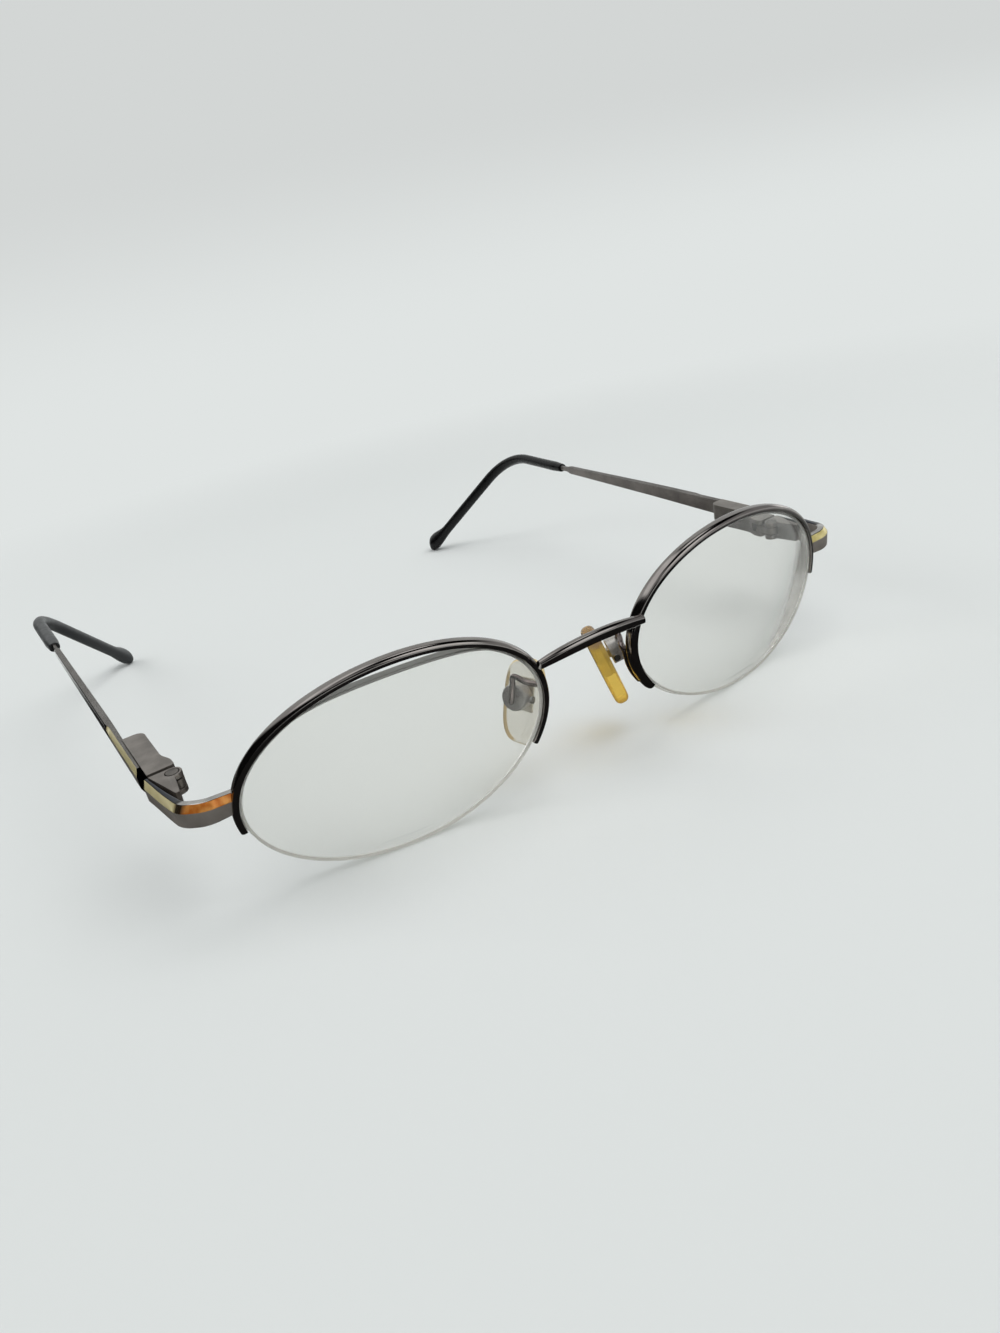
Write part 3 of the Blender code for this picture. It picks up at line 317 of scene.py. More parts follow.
def worn(tree, shader, pattern, spread, finish):
    # The middle of a pattern's range, spread over the finish's range of roughness. Where the
    # finish has a relief, the pattern is raised by it too.
    rough = addNode(tree, "ShaderNodeMapRange", {
        "Value": pattern, "From Min": spread[0], "From Max": spread[1],
        "To Min": finish["roughness"][0], "To Max": finish["roughness"][1]})
    tree.links.new(rough.outputs["Result"], shader.inputs["Roughness"])
    if "relief" in finish:
        bump = addNode(tree, "ShaderNodeBump", {"Height": pattern, "Distance": finish["relief"] * mm,
                                                "Strength": finish["strength"]})
        tree.links.new(bump.outputs["Normal"], shader.inputs["Normal"])


# What most of the metals share. Lines have a width across the work and a length along it.
plating = {"metal": 1.0, "glance": "#FFFFFF", "lines": (0.05, 1.6), "relief": 0.01, "strength": 0.2}


def metalFinish(name, finish):
    # Plated metal: two tones in soft clouds, and fine lines along the work as roughness and
    # relief. Less than 1 of metal scatters the rest like the grain of a matt plating.
    finish = {**plating, **finish}
    material, tree, shader, _, place = newMaterial(name, {"Metallic": finish["metal"],
                                                          "Specular Tint": finish["glance"]})
    clouds = addNode(tree, "ShaderNodeTexNoise", {"Vector": place, "Scale": 1 / (finish["cloud"] * mm),
                                                  "Detail": 3.0})
    low, high = noiseSpread["clouds"]
    tone = addNode(tree, "ShaderNodeMapRange", {"Value": clouds.outputs["Fac"], "From Min": low,
                                                "From Max": high})
    colour = addNode(tree, "ShaderNodeMix", {"Factor": tone.outputs["Result"], "A": finish["dark"],
                                             "B": finish["light"]}, data_type="RGBA")
    tree.links.new(colour.outputs["Result"], shader.inputs["Base Color"])
    across, along = finish["lines"]
    stretched = addNode(tree, "ShaderNodeMapping", {"Vector": place, "Scale": (
        1 / (across * mm), 1 / (along * mm), 1 / (across * mm))})
    lines = addNode(tree, "ShaderNodeTexNoise", {"Vector": stretched.outputs["Vector"], "Scale": 1.0,
                                                 "Detail": 4.0})
    worn(tree, shader, lines.outputs["Fac"], noiseSpread["lines"], finish)
    return material


def baseColour(material):
    # A material's nodes, its shader, and the link or value that colours it.
    tree = material.node_tree
    shader = next(node for node in tree.nodes if node.type == "BSDF_PRINCIPLED")
    colour = shader.inputs["Base Color"]
    return tree, shader, colour.links[0].from_socket if colour.is_linked else tuple(colour.default_value)


def changeAlong(material, axis, low, high, tone):
    # Eases a material's colour into another between two places in metres along an axis.
    tree, shader, colour = baseColour(material)
    place = addNode(tree, "ShaderNodeTexCoord").outputs["Object"]
    along = addNode(tree, "ShaderNodeSeparateXYZ", {"Vector": place}).outputs[axis]
    share = addNode(tree, "ShaderNodeMapRange", {"Value": along, "From Min": low, "From Max": high},
                    interpolation_type="SMOOTHSTEP").outputs["Result"]
    both = addNode(tree, "ShaderNodeMix", {"Factor": share, "A": colour, "B": tone}, data_type="RGBA")
    tree.links.new(both.outputs["Result"], shader.inputs["Base Color"])
    return share


# Gunmetal plating over nickel silver, buffed: a dark mirror with a faint warm cast
polishedGunmetal = metalFinish("polishedGunmetal", {
    "dark": "#8A8482", "light": "#9C9793", "cloud": 6.0, "lines": (0.08, 2.5),
    "roughness": (0.08, 0.14), "relief": 0.008, "strength": 0.12})
# The same plating, left with fine lines from the polishing belt: satin and browner
satinGunmetal = metalFinish("satinGunmetal", {
    "dark": "#857E78", "light": "#9C948D", "metal": 0.4, "cloud": 5.0,
    "roughness": (0.30, 0.40), "relief": 0.012, "strength": 0.3})
# The inner faces of the temples, less brushed and darker
innerGunmetal = metalFinish("innerGunmetal", {
    "dark": "#66605C", "light": "#7A746F", "metal": 0.45, "cloud": 5.0,
    "roughness": (0.26, 0.36), "strength": 0.25})
# The top of the temples, darker than their sides as a painted dark reflection
darkReflectedTempleTop = metalFinish("darkReflectedTempleTop", {
    "dark": "#777471", "light": "#8A8784", "metal": 0.6, "glance": "#9A9896", "cloud": 5.0,
    "roughness": (0.24, 0.34)})
# The cut end of the temple in its notch, painted dark as the shade in the notch, with a dull shine
paintedNotchShade = metalFinish("paintedNotchShade", {
    "dark": "#0D0D0F", "light": "#1A1B1F", "glance": "#3A3C44", "cloud": 2.0,
    "lines": (0.06, 0.6), "roughness": (0.28, 0.4)})
# Stamped and tumbled hinge parts: satin grey-brown
satinHinge = metalFinish("satinHinge", {
    "dark": "#7C7671", "light": "#948D87", "metal": 0.8, "cloud": 3.0, "lines": (0.06, 0.5),
    "roughness": (0.32, 0.42), "relief": 0.015, "strength": 0.3})
# Drawn and plated wire of the pad arms: bright with a pinkish cast
platedWire = metalFinish("platedWire", {
    "dark": "#6F6462", "light": "#9A8E8B", "cloud": 2.0, "lines": (0.06, 1.0),
    "roughness": (0.16, 0.26)})
# The pad's boxes, pressed from nickel silver: silver-grey
pressedNickel = metalFinish("pressedNickel", {
    "dark": "#A09D9B", "light": "#C2BFBC", "metal": 0.7, "cloud": 1.5, "lines": (0.05, 0.5),
    "roughness": (0.24, 0.34)})
# The plates cast into the pads: pale and matt
tinnedPlate = metalFinish("tinnedPlate", {
    "dark": "#DAD7D0", "light": "#ECEAE4", "cloud": 1.5, "lines": (0.05, 0.5),
    "roughness": (0.5, 0.6)})
# The hinge's screws, tumbled with the hinge: satin and darker than its lugs
tumbledScrew = metalFinish("tumbledScrew", {
    "dark": "#66615D", "light": "#807A75", "cloud": 1.5, "lines": (0.05, 0.3),
    "roughness": (0.34, 0.44), "strength": 0.25})
# Turned stainless steel of screws, bushes and springs: brightest of all
turnedSteel = metalFinish("turnedSteel", {
    "dark": "#A5A4A2", "light": "#C4C3C0", "cloud": 1.5, "lines": (0.05, 0.3),
    "roughness": (0.2, 0.3), "strength": 0.25})

# The dark line where the gold turns the corner is a painted reflection
darkCornerReflection = {"tone": "#16130F", "full": 0.2, "cover": 0.96}   # where it is full, and how dense


def goldFinish(name, finish):
    # One tone across the front and another along the side run, a painted reflection that changes
    # round the corner. A dark line of painted reflection lies where they meet: it is full where
    # share * (1 - share) of the change reaches a set value.
    material = metalFinish(name, finish["front"])
    tree = material.node_tree
    place = addNode(tree, "ShaderNodeTexCoord").outputs["Object"]
    clouds = addNode(tree, "ShaderNodeTexNoise", {"Vector": place, "Scale": 1 / (finish["cloud"] * mm)})
    sideTone = addNode(tree, "ShaderNodeMix", {"Factor": clouds.outputs["Fac"], "A": finish["dark"],
                                               "B": finish["light"]}, data_type="RGBA")
    low, high = (toWorld(np.array((0.0, y, 0.0)), 1)[1] for y in finish["turn"])
    share = changeAlong(material, "Y", low, high, sideTone.outputs["Result"])
    rest = addNode(tree, "ShaderNodeMath", {0: 1.0, 1: share}, operation="SUBTRACT")
    meet = addNode(tree, "ShaderNodeMath", {0: share, 1: rest.outputs[0]}, operation="MULTIPLY")
    cornerDark = addNode(tree, "ShaderNodeMapRange", {"Value": meet.outputs[0], "From Max": darkCornerReflection["full"],
                                                 "To Max": darkCornerReflection["cover"]})
    tree, shader, colour = baseColour(material)
    line = addNode(tree, "ShaderNodeMix", {"Factor": cornerDark.outputs["Result"], "A": colour,
                                           "B": darkCornerReflection["tone"]}, data_type="RGBA")
    tree.links.new(line.outputs["Result"], shader.inputs["Base Color"])
    return material


# Flash of gold on the bevels: one side's front is painted amber as a warm reflection, the other is pale
goldFlash = {side: goldFinish(name, {
    "front": {"dark": dark, "light": light, "metal": 0.35, "cloud": 1.6, "lines": (0.05, 1.2),
              "roughness": (0.16, 0.24), "relief": 0.006, "strength": 0.1},
    "dark": "#D6C88F", "light": "#EFE2B4", "cloud": 2.5, "turn": (8.7, 11.7)})
    for side, name, dark, light in ((-1, "amberReflectionFlash", "#C66E26", "#F0A858"),
                                    (1, "paleFlash", "#CDBD78", "#F0E2A4"))}
# The narrow top of the endpieces, in painted reflections: bright across the front, blue-black behind
reflectedEndpieceTop = goldFinish("reflectedEndpieceTop", {
    "front": {"dark": "#A8A4A1", "light": "#C4C0BC", "cloud": 2.5, "lines": (0.05, 1.2),
              "roughness": (0.1, 0.18), "strength": 0.15},
    "dark": "#1B1E25", "light": "#343944", "cloud": 2.5, "turn": (10.4, 12.2)})


def clearMaterial(name, finish):
    # A see-through body that lets the lamps' light pass, with a share of milky haze and a film.
    material, tree, shader, output, place = newMaterial(name, {
        "Base Color": finish["colour"], "IOR": finish["ior"], "Transmission Weight": finish["clear"]})
    film = addNode(tree, "ShaderNodeTexNoise", {"Vector": place, "Scale": 1 / (finish["cloud"] * mm),
                                                "Detail": 5.0})
    worn(tree, shader, film.outputs["Fac"], noiseSpread["film"], finish)
    rays = addNode(tree, "ShaderNodeLightPath")
    passing = addNode(tree, "ShaderNodeBsdfTransparent", {"Color": finish["shadow"]})
    both = addNode(tree, "ShaderNodeMixShader", {0: rays.outputs["Is Shadow Ray"],
                                                 1: shader.outputs["BSDF"], 2: passing.outputs["BSDF"]})
    tree.links.new(both.outputs["Shader"], output.inputs["Surface"])
    return material


# Cast CR-39 lens resin, polished: nearly clear, with the film of many wipes
lensResin = clearMaterial("lensResin", {
    "colour": "#FAFAF7", "ior": 1.498, "clear": 0.975, "roughness": (0.0, 0.02), "cloud": 7.0,
    "shadow": "#F2F2F0"})
# The lens's ground edge, left from the stone: whitish and dull
groundEdge = clearMaterial("groundEdge", {
    "colour": "#ECEBE7", "ior": 1.498, "clear": 0.4, "roughness": (0.35, 0.5), "cloud": 0.4,
    "shadow": "#E6E6E4"})
# Towards the top, under the rims, painted shade darkens it to grey
changeAlong(groundEdge, "Z", lens["rimShadeFrom"] * mm, lens["rimShadeTo"] * mm, "#8C8A86")
# Drawn nylon cord: clear, a little milky from wear
drawnNylon = clearMaterial("drawnNylon", {
    "colour": "#FCFBF7", "ior": 1.5, "clear": 0.45, "roughness": (0.12, 0.22), "cloud": 0.5,
    "shadow": "#DCDCD8"})
# Silicone nose pads: the one that shows from its edge has gone amber with age
agedSilicone = clearMaterial("agedSilicone", {
    "colour": "#FFDC6E", "ior": 1.41, "clear": 0.72, "roughness": (0.14, 0.26), "cloud": 2.5,
    "shadow": "#F0DC98"})
# The other is clear in the middle, with its full round border painted cream as the bright glow of its
# edge
clearSilicone, edgeGlowSilicone = (clearMaterial(name, {
    "colour": colour, "ior": 1.41, "clear": clear, "roughness": (0.12, 0.22), "cloud": 2.5,
    "shadow": "#E8E0C8"}) for name, colour, clear in (("clearSilicone", "#EDEAE3", 0.95),
                                                      ("edgeGlowSilicone", "#F0DBA8", 0.12)))


def moulded(name, finish):
    # Glossy black tip plastic: smooth, with the haze and hair scratches of wear.
    material, tree, shader, _, place = newMaterial(name, {"IOR": finish["ior"],
                                                          "Specular IOR Level": finish["gloss"]})
    haze = addNode(tree, "ShaderNodeTexNoise", {"Vector": place, "Scale": 1 / (finish["cloud"] * mm),
                                                "Detail": 6.0})
    colour = addNode(tree, "ShaderNodeMix", {"Factor": haze.outputs["Fac"], "A": finish["dark"],
                                             "B": finish["light"]}, data_type="RGBA")
    tree.links.new(colour.outputs["Result"], shader.inputs["Base Color"])
    worn(tree, shader, haze.outputs["Fac"], noiseSpread["clouds"], finish)
    return material


# One tip is polished and deep black; the other is a lighter, rougher grey, its lighter tone a painted
# sheen
tipAcetate = {side: moulded(name, {
    "dark": dark, "light": light, "ior": ior, "gloss": gloss, "cloud": 1.2,
    "roughness": roughness, "relief": 0.01, "strength": 0.12})
    for side, name, dark, light, ior, gloss, roughness in (
        (1, "polishedTip", "#0A0A0B", "#131314", 1.45, 0.3, (0.2, 0.32)),
        (-1, "sheenPaintedTip", "#212325", "#303233", 1.47, 1.0, (0.34, 0.48)))}


# Lenses

def makeLens(hand, side):
    # Two spheres' caps over the oval, joined by the ground edge and its groove. One lens is
    # ground a little flat at its top, by (1 - u^2)^1.5, which opens a narrow gap under the rim.
    angles = np.linspace(0.0, 360.0, lens["steps"], endpoint=False)
    shares = np.sin(np.linspace(0.0, np.pi / 2, lens["rings"]))[1:, None]
    beside = np.clip((angles - lens["flatAt"]) / lens["flatHalf"], -1, 1)
    inset = lens["flatDepth"][side] * (1 - beside ** 2) ** 1.5

    def cap(radius, depth):
        x, z, outX, outZ = lensOval(angles)
        x, z = (x - outX * inset) * shares, (z - outZ * inset) * shares
        return lensPoint(x, depth + sag(x, z, radius), z)

    front = cap(lens["frontRadius"], 0.0)
    back = cap(lens["backRadius"], lens["thickness"])[::-1]
    c, deep, lip, slope = lens["chamfer"], lens["grooveDepth"], lens["grooveLip"], lens["grooveSlope"]
    edge = np.array(((0.0, c), (0.0, grooveNear - lip), (-lip, grooveNear),
                     (-deep, grooveNear + slope), (-deep, grooveFar - slope), (-lip, grooveFar),
                     (0.0, grooveFar + lip)))
    belt = edgePoint(np.broadcast_to(angles, (len(edge), lens["steps"])), edge[:, :1] - inset,
                     edge[:, 1:])
    front[-1] = edgePoint(angles, -c - inset, 0.0)
    inward = front[-1] - edgePoint(angles, -inset, 0.0)
    rings = np.concatenate((front, belt, (back[0] - lensAxis * c)[None],
                            (back[0] + inward)[None], back[1:]))
    rows, cols = rings.shape[:2]
    ground = np.zeros((rows - 1, cols), int)
    ground[len(front) - 1:len(front) + len(belt) + 1] = 1
    poles = np.stack((lensPoint(0.0, 0.0, 0.0), lensPoint(0.0, lens["thickness"], 0.0)))
    points = np.concatenate((rings.reshape(-1, 3), poles))
    faces = ringFaces(rows, cols)
    first, last = np.arange(cols), np.arange(cols) + (rows - 1) * cols
    for ring, pole in ((first[::-1], rows * cols), (last, rows * cols + 1)):
        faces += np.stack((ring, np.roll(ring, -1), np.full(cols, pole)), -1).tolist()
    slots = ground.reshape(-1).tolist() + [0] * (2 * cols)
    addPiece("lens_" + hand, points, faces, slots, side, "front", [lensResin, groundEdge],
             sharp=30.0)


# Half rims, liners and cords

def makeRim(hand, side):
    # Half a superellipse outside and a slot for the liner inside, carried round the lens's edge.
    # A smaller ring a little past each end softens it.
    inner, deep = gaps["fit"], gaps["fit"] + rim["slot"]
    around = np.radians(np.linspace(-90.0, 90.0, rim["outlineSteps"]))
    power = 2 / rim["square"]
    out = inner + rim["wall"] * np.abs(np.cos(around)) ** power
    depth = ((rimBack - rim["lip"]) / 2
             + np.sign(around) * np.abs(np.sin(around)) ** power * rim["depth"] / 2)
    slot = ((inner, grooveFar), (deep, grooveFar), (deep, grooveNear), (inner, grooveNear))
    outline = np.concatenate((np.stack((out, depth), -1), slot))
    rings = sweptEdge(outline, rim["start"], rim["end"], rim["steps"])
    ends = []
    for ring, nextRing in ((rings[0], rings[1]), (rings[-1], rings[-2])):
        middle = ring.mean(0)
        forward = unit(ring - nextRing).mean(0)
        ends.append(middle + (ring - middle) * rim["endSize"] + forward * rim["endReach"])
    rings = np.concatenate((ends[0][None], rings, ends[1][None]))
    addRings("rim_" + hand, rings, side, "front", [polishedGunmetal])


def makeLiner(hand, side):
    # A flat nylon strip that fills the upper half of the two grooves.
    low, high = -lens["grooveDepth"] + gaps["fit"], rim["slot"]
    near = lens["grooveSetback"] - strand["width"] / 2
    far = near + strand["width"]
    outline = rounded(((low, near), (high, near), (high, far), (low, far)), strand["round"],
                      steps=3)
    rings = sweptEdge(outline, rim["start"] + strand["entry"], rim["end"] - strand["entry"],
                      strand["linerSteps"])
    addRings("rim_liner_" + hand, rings, side, "front", [drawnNylon])


def makeCord(hand, side):
    # A round cord in the lens's groove, from one end of the rim to the other.
    radius = strand["diameter"] / 2
    c, s = circle(strand["cordSides"])
    outline = np.stack((-lens["grooveDepth"] + gaps["fit"] + radius + radius * c,
                        lens["grooveSetback"] + radius * s), -1)
    inside = strand["entry"] - strand["apart"]
    rings = sweptEdge(outline, rim["end"] - inside, 360.0 + rim["start"] + inside, strand["cordSteps"])
    addRings("nylon_cord_" + hand, rings, side, "front", [drawnNylon])


# Bridge

bridge = {"angle": 165.0, "height": 2.0, "depth": 1.7, "rise": 1.3, "bulge": 0.9, "lap": 0.25,
          "taper": 0.3, "steps": 72, "sides": 32, "square": 2.5}


def makeBridge():
    # A rounded bar on a flat arch, 1 - u^2, whose ends narrow by |u|^3 where they lap the rims.
    landing = edgePoint(bridge["angle"], rimOuter, -rim["lip"])
    share = np.linspace(-1.0, 1.0, bridge["steps"])
    arch = 1 - share ** 2
    centre = np.stack(((landing[0] + bridge["lap"]) * share,
                       landing[1] - bridge["depth"] / 2 + joined - bridge["bulge"] * arch,
                       landing[2] + bridge["rise"] * arch), -1)
    size = (1 - bridge["taper"] * np.abs(share) ** 3)[:, None]
    y, z = superRing(bridge["sides"], bridge["square"])
    section = np.stack((size * y * bridge["depth"] / 2, size * z * bridge["height"] / 2), -1)
    ones = np.ones((len(share), 1))
    rings = alongPath(centre, ones * (0.0, 1.0, 0.0), ones * (0.0, 0.0, 1.0), section)
    addRings("bridgeBar", rings, 1, "front", [polishedGunmetal], node="bridge")


# Endpieces

def besideRim(out, depth, height, highest=60.0, halvings=24):
    # The place on the rim's outer face at each depth and height, found by halving.
    low = np.full(np.shape(height), rim["start"])
    high = np.full(np.shape(height), highest)
    for _ in range(halvings):
        middle = (low + high) / 2
        under = edgePoint(middle, out, depth)[..., 2] < height
        low, high = np.where(under, middle, low), np.where(under, high, middle)
    return edgePoint(low, out, depth)


def endpieceFlat(start, end):
    # The bar's course from above and its outward normals: a straight run out from the rim, an
    # arc round the corner and a run to the hinge. Lengths count from the rim.
    sideWay = unit(np.array((end[0] - start[0] - endpiece["reach"], end[1] - start[1])))
    turn = np.arctan2(sideWay[1], sideWay[0])
    reach = endpiece["corner"] * np.tan(turn / 2)
    arcStart = np.array((start[0] + endpiece["reach"] - reach, start[1]))
    angle = np.linspace(0.0, turn, endpiece["arcSteps"])
    arcOut = np.stack((np.sin(angle), -np.cos(angle)), -1)
    arc = arcStart + (0.0, endpiece["corner"]) + arcOut * endpiece["corner"]
    straight = arc[-1] + (end[:2] - arc[-1]) * np.linspace(0.0, 1.0, endpiece["runSteps"])[1:, None]
    flat = np.concatenate((arc, straight))
    outward = np.concatenate((arcOut, np.broadcast_to(arcOut[-1], straight.shape)))
    gone = np.cumsum(np.linalg.norm(np.diff(flat, axis=0), axis=1))
    return flat, outward, arcStart[0] - start[0] + np.concatenate(((0.0,), gone))


def makeEndpiece(hand, side):
    # A bevelled bar along its course. Height, thickness and bevel ease from the rim's values
    # to the temple's, and the first rings reach from the rim's own face to the bar.
    start = endpieceStart
    end = buttOrigin - buttTurn[:, 1] * gaps["butt"] / 2
    flat, outward, lengths = endpieceFlat(start, end)
    corner = (lengths[0] + lengths[endpiece["arcSteps"] - 1]) / 2
    before = np.clip(lengths / corner, 0, 1)
    after = np.clip((lengths - corner) / (lengths[-1] - corner), 0, 1)
    height = (endpiece["rimHeight"]
              + (endpiece["cornerHeight"] - endpiece["rimHeight"]) * smoothStep(before)
              + (bar["height"] - endpiece["cornerHeight"]) * smoothStep(after))
    thickness = between((endpiece["thickness"], bar["thickness"]), smoothStep(after))
    ease = smoothStep(after * endpiece["ease"])
    thinned = endpiece["thinned"] * ease   # on the inner side only
    sunk = endpiece["sunk"] * smoothStep(lengths / lengths[-1] * endpiece["ease"])
    toButt = np.linspace(0.0, 1.0, endpiece["endSteps"] + 1)[1:, None]
    outward[-len(toButt):] += (buttTurn[:2, 0] - outward[-1]) * toButt
    outward = unit(np.column_stack((outward, np.zeros(len(outward)))))
    up = np.broadcast_to((0.0, 0.0, 1.0), outward.shape).copy()
    up[-len(toButt):] += (buttTurn[:, 2] - up[-1]) * toButt
    centre = np.column_stack((flat, start[2] + (end[2] - start[2]) * after - sunk))
    centre += outward * thinned[:, None] / 2
    section = rounded(bevelled(thickness - thinned, height, between(endpiece["bevelWidth"], ease),
                               between(endpiece["bevelHeight"], ease), endpiece["chamfer"]),
                      endpiece["round"])
    rings = alongPath(centre, outward, up, section)
    near = rounded(bevelled(endpiece["thickness"], endpiece["rimHeight"], endpiece["bevelWidth"][0],
                            endpiece["bevelHeight"][0], endpiece["chamfer"]), endpiece["round"])
    atRim = besideRim(rimOuter - endpiece["intoRim"], lens["grooveSetback"] - near[:, 0],
                      start[2] + near[:, 1])
    blend = np.linspace(0.0, 1.0, endpiece["rimSteps"], endpoint=False)[:, None, None]
    rings = np.concatenate((atRim + (rings[0] - atRim) * blend, rings))
    addRings("endpiece_" + hand, rings, side, "front",
             [polishedGunmetal, satinGunmetal, goldFlash[side], reflectedEndpieceTop],
             roundedSlots((1, 2, 3, 3, 1, 1, 0, 0)), sharp=28.0)


# Temples and tips

tip = {"length": 30.8, "width": 2.8, "height": 2.5, "mouth": 0.84, "mouthLength": 4.0,
       "mouthEdge": 0.93, "square": 2.15, "bulbLength": 9.0, "bulbWidth": 0.9, "bulbUp": 1.9,
       "bulbDown": 0.6, "slant": 0.45, "endWall": 8.0, "endSize": 0.02, "snug": 0.06,
       "holeSquare": 5.0, "sides": 40, "steps": (12, 130, 18), "holeSteps": 50}
tipStart = bar["length"] + bar["neck"]
bendEnd = bar["bendStart"] + bar["bendRadius"] * np.radians(bar["bend"])
templeEnd = bendEnd + tip["length"]


def templeStation(length):
    # Centre, outward and upward axes: straight back, then an arc down that leans inward.
    one = np.ones_like(length)
    eased = smoothStep((length - bar["length"]) / (bar["bendStart"] - bar["length"]))
    lean = np.radians(bar["lean"]) * eased
    outward = np.stack((np.cos(lean), 0 * one, -np.sin(lean)), -1)
    upward = np.stack((np.sin(lean), 0 * one, np.cos(lean)), -1)
    back = np.stack((0 * one, one, 0 * one), -1)
    centre = np.stack((hinge["in"] * one, hinge["ahead"] + np.minimum(length, bar["bendStart"]),
                       0 * one), -1)
    beyond = np.maximum(length - bar["bendStart"], 0.0)
    turn = np.minimum(beyond / bar["bendRadius"], np.radians(bar["bend"]))[:, None]
    centre = centre + bar["bendRadius"] * (back * np.sin(turn) - upward * (1 - np.cos(turn)))
    way = back * np.cos(turn) - upward * np.sin(turn)
    over = upward * np.cos(turn) + back * np.sin(turn)
    straight = np.maximum(length - bendEnd, 0.0)[:, None]
    return centre + way * straight, outward, over


def coreSize(length):
    # The bar's end eases to its core within the first half of the neck.
    share = smoothStep((length - bar["length"]) / (bar["neck"] / 2))
    return (between((bar["endThickness"], bar["coreThickness"]), share),
            between((bar["endHeight"], bar["coreHeight"]), share))


def makeTemple(hand, side):
    # A bar that thins evenly to its end and eases to the tip's core, with a slanted notch at
    # its bevelled front end, which clears the endpiece when the temple flexes outward.
    edge = hinge["in"] - bar["thickness"] / 2 + bar["thickness"] * bar["notchWall"]
    limit = hinge["ahead"] - gaps["butt"] / 2 + gaps["fit"]
    flex = np.radians(hinge["flex"])
    front = (limit + edge * np.sin(flex)) / np.cos(flex) - hinge["ahead"]
    stop = bar["bevelRun"] - bar["bevelStop"]
    marks = (front + bar["notch"], stop, bar["bevelRun"], bar["length"], tipStart,
             templeEnd - tip["endWall"])
    runs = [np.linspace(a, b, count)[1:] for a, b, count in zip(marks, marks[1:], bar["steps"])]
    length = np.concatenate(((front, marks[0]), *runs))
    share = np.minimum(length / bar["length"], 1.0)
    coreThickness, coreHeight = coreSize(length)
    inBar = length <= bar["length"]
    thickness = np.where(inBar, between((bar["thickness"], bar["endThickness"]), share), coreThickness)
    height = np.where(inBar, between((bar["height"], bar["endHeight"]), share), coreHeight)
    thinned = endpiece["thinned"] * (1 - smoothStep(length / bar["thinRun"]))
    sunk = endpiece["sunk"] * (1 - smoothStep(length / bar["sinkRun"]))
    thickness = thickness - thinned
    fade = 1 - smoothStep((length - stop) / bar["bevelStop"])
    c = endpiece["chamfer"]
    section = bevelled(thickness, height, between((c, endpiece["bevelWidth"][1]), fade),
                       between((c, endpiece["bevelHeight"][1]), fade), c)
    section[0, :, 0] = (section[0, :, 0] + thickness[0] / 2) * bar["notchWall"] - thickness[0] / 2
    section = rounded(section, bar["round"])
    centre, outward, upward = templeStation(length)
    centre = centre + outward * thinned[:, None] / 2 - upward * sunk[:, None]
    rings = hingePlace(alongPath(centre, outward, upward, section))
    facets = np.tile(roundedSlots((1, 2, 4, 4, 5, 5, 0, 0)), (len(length) - 1, 1))
    # The notch's strip takes the painted shade
    facets[0] = 3   # the notch
    goldEnd = np.searchsorted(length, stop + bar["bevelStop"] / 2)   # where the bevel closes
    facets[goldEnd:] = roundedSlots((0, 0, 4, 4, 5, 5, 0, 0))
    addRings("temple_" + hand, rings, side, "temple_" + hand,
             [polishedGunmetal, satinGunmetal, goldFlash[side], paintedNotchShade, darkReflectedTempleTop, innerGunmetal],
             facets, sharp=28.0)


def makeTip(hand, side):
    # A moulded sleeve that swells to a bulb, rounded as a sphere and slanted to its underside at
    # the end, with a snug hole for the temple's core.
    radius = (tip["height"] + tip["bulbUp"] + tip["bulbDown"]) / 2
    bulbAt = templeEnd - radius
    mouthSteps, sleeveSteps, bulbSteps = tip["steps"]
    length = np.concatenate((np.linspace(tipStart, tipStart + tip["mouthLength"], mouthSteps),
                             np.linspace(tipStart + tip["mouthLength"], bulbAt, sleeveSteps)[1:],
                             bulbAt + np.sin(np.linspace(0.0, np.pi / 2, bulbSteps))[1:] * radius))
    size = between((tip["mouth"], 1), smoothStep((length - tipStart) / tip["mouthLength"]))
    size[0] *= tip["mouthEdge"]
    swell = smoothStep((length - templeEnd + tip["bulbLength"]) / (tip["bulbLength"] - radius))
    end = np.maximum(length - bulbAt, 0.0) / radius
    size = size * np.sqrt(np.maximum(1 - end ** 2, tip["endSize"] ** 2))
    centre, outward, upward = templeStation(length)
    under = (tip["height"] / 2 + tip["bulbDown"]) * tip["slant"]
    rise = (tip["bulbUp"] - tip["bulbDown"]) / 2 * swell
    centre = centre + upward * (rise - (rise + under) * (end > 0) * (1 - size))[:, None]
    wide = (tip["width"] + tip["bulbWidth"] * swell) / 2 * size
    tall = (tip["height"] + (tip["bulbUp"] + tip["bulbDown"]) * swell) / 2 * size
    ringX, ringZ = superRing(tip["sides"], tip["square"])
    section = np.stack((wide[:, None] * ringX, tall[:, None] * ringZ), -1)
    outside = alongPath(centre, outward, upward, section)[::-1]
    hole = np.linspace(tipStart, templeEnd - tip["endWall"] + gaps["seat"], tip["holeSteps"])
    wide, tall = (size / 2 + tip["snug"] for size in coreSize(hole))
    ringX, ringZ = superRing(tip["sides"], tip["holeSquare"])
    section = np.stack((wide[:, None] * ringX, tall[:, None] * ringZ), -1)
    inside = alongPath(*templeStation(hole), section)
    rings = hingePlace(np.concatenate((outside, inside)))
    addRings("temple_tip_" + hand, rings, side, "temple_" + hand, [tipAcetate[side]],
             sharp=50.0)


# Hinges

refine = {"merge": 1e-7, "flat": 0.5, "sharp": 30.0, "segments": 2}   # metres, degrees, count
toBar = gaps["seat"] + endpiece["thinned"] + joined   # from a solid's face into its bar
onFace = 0.01   # how near a point lies to the face that it belongs to


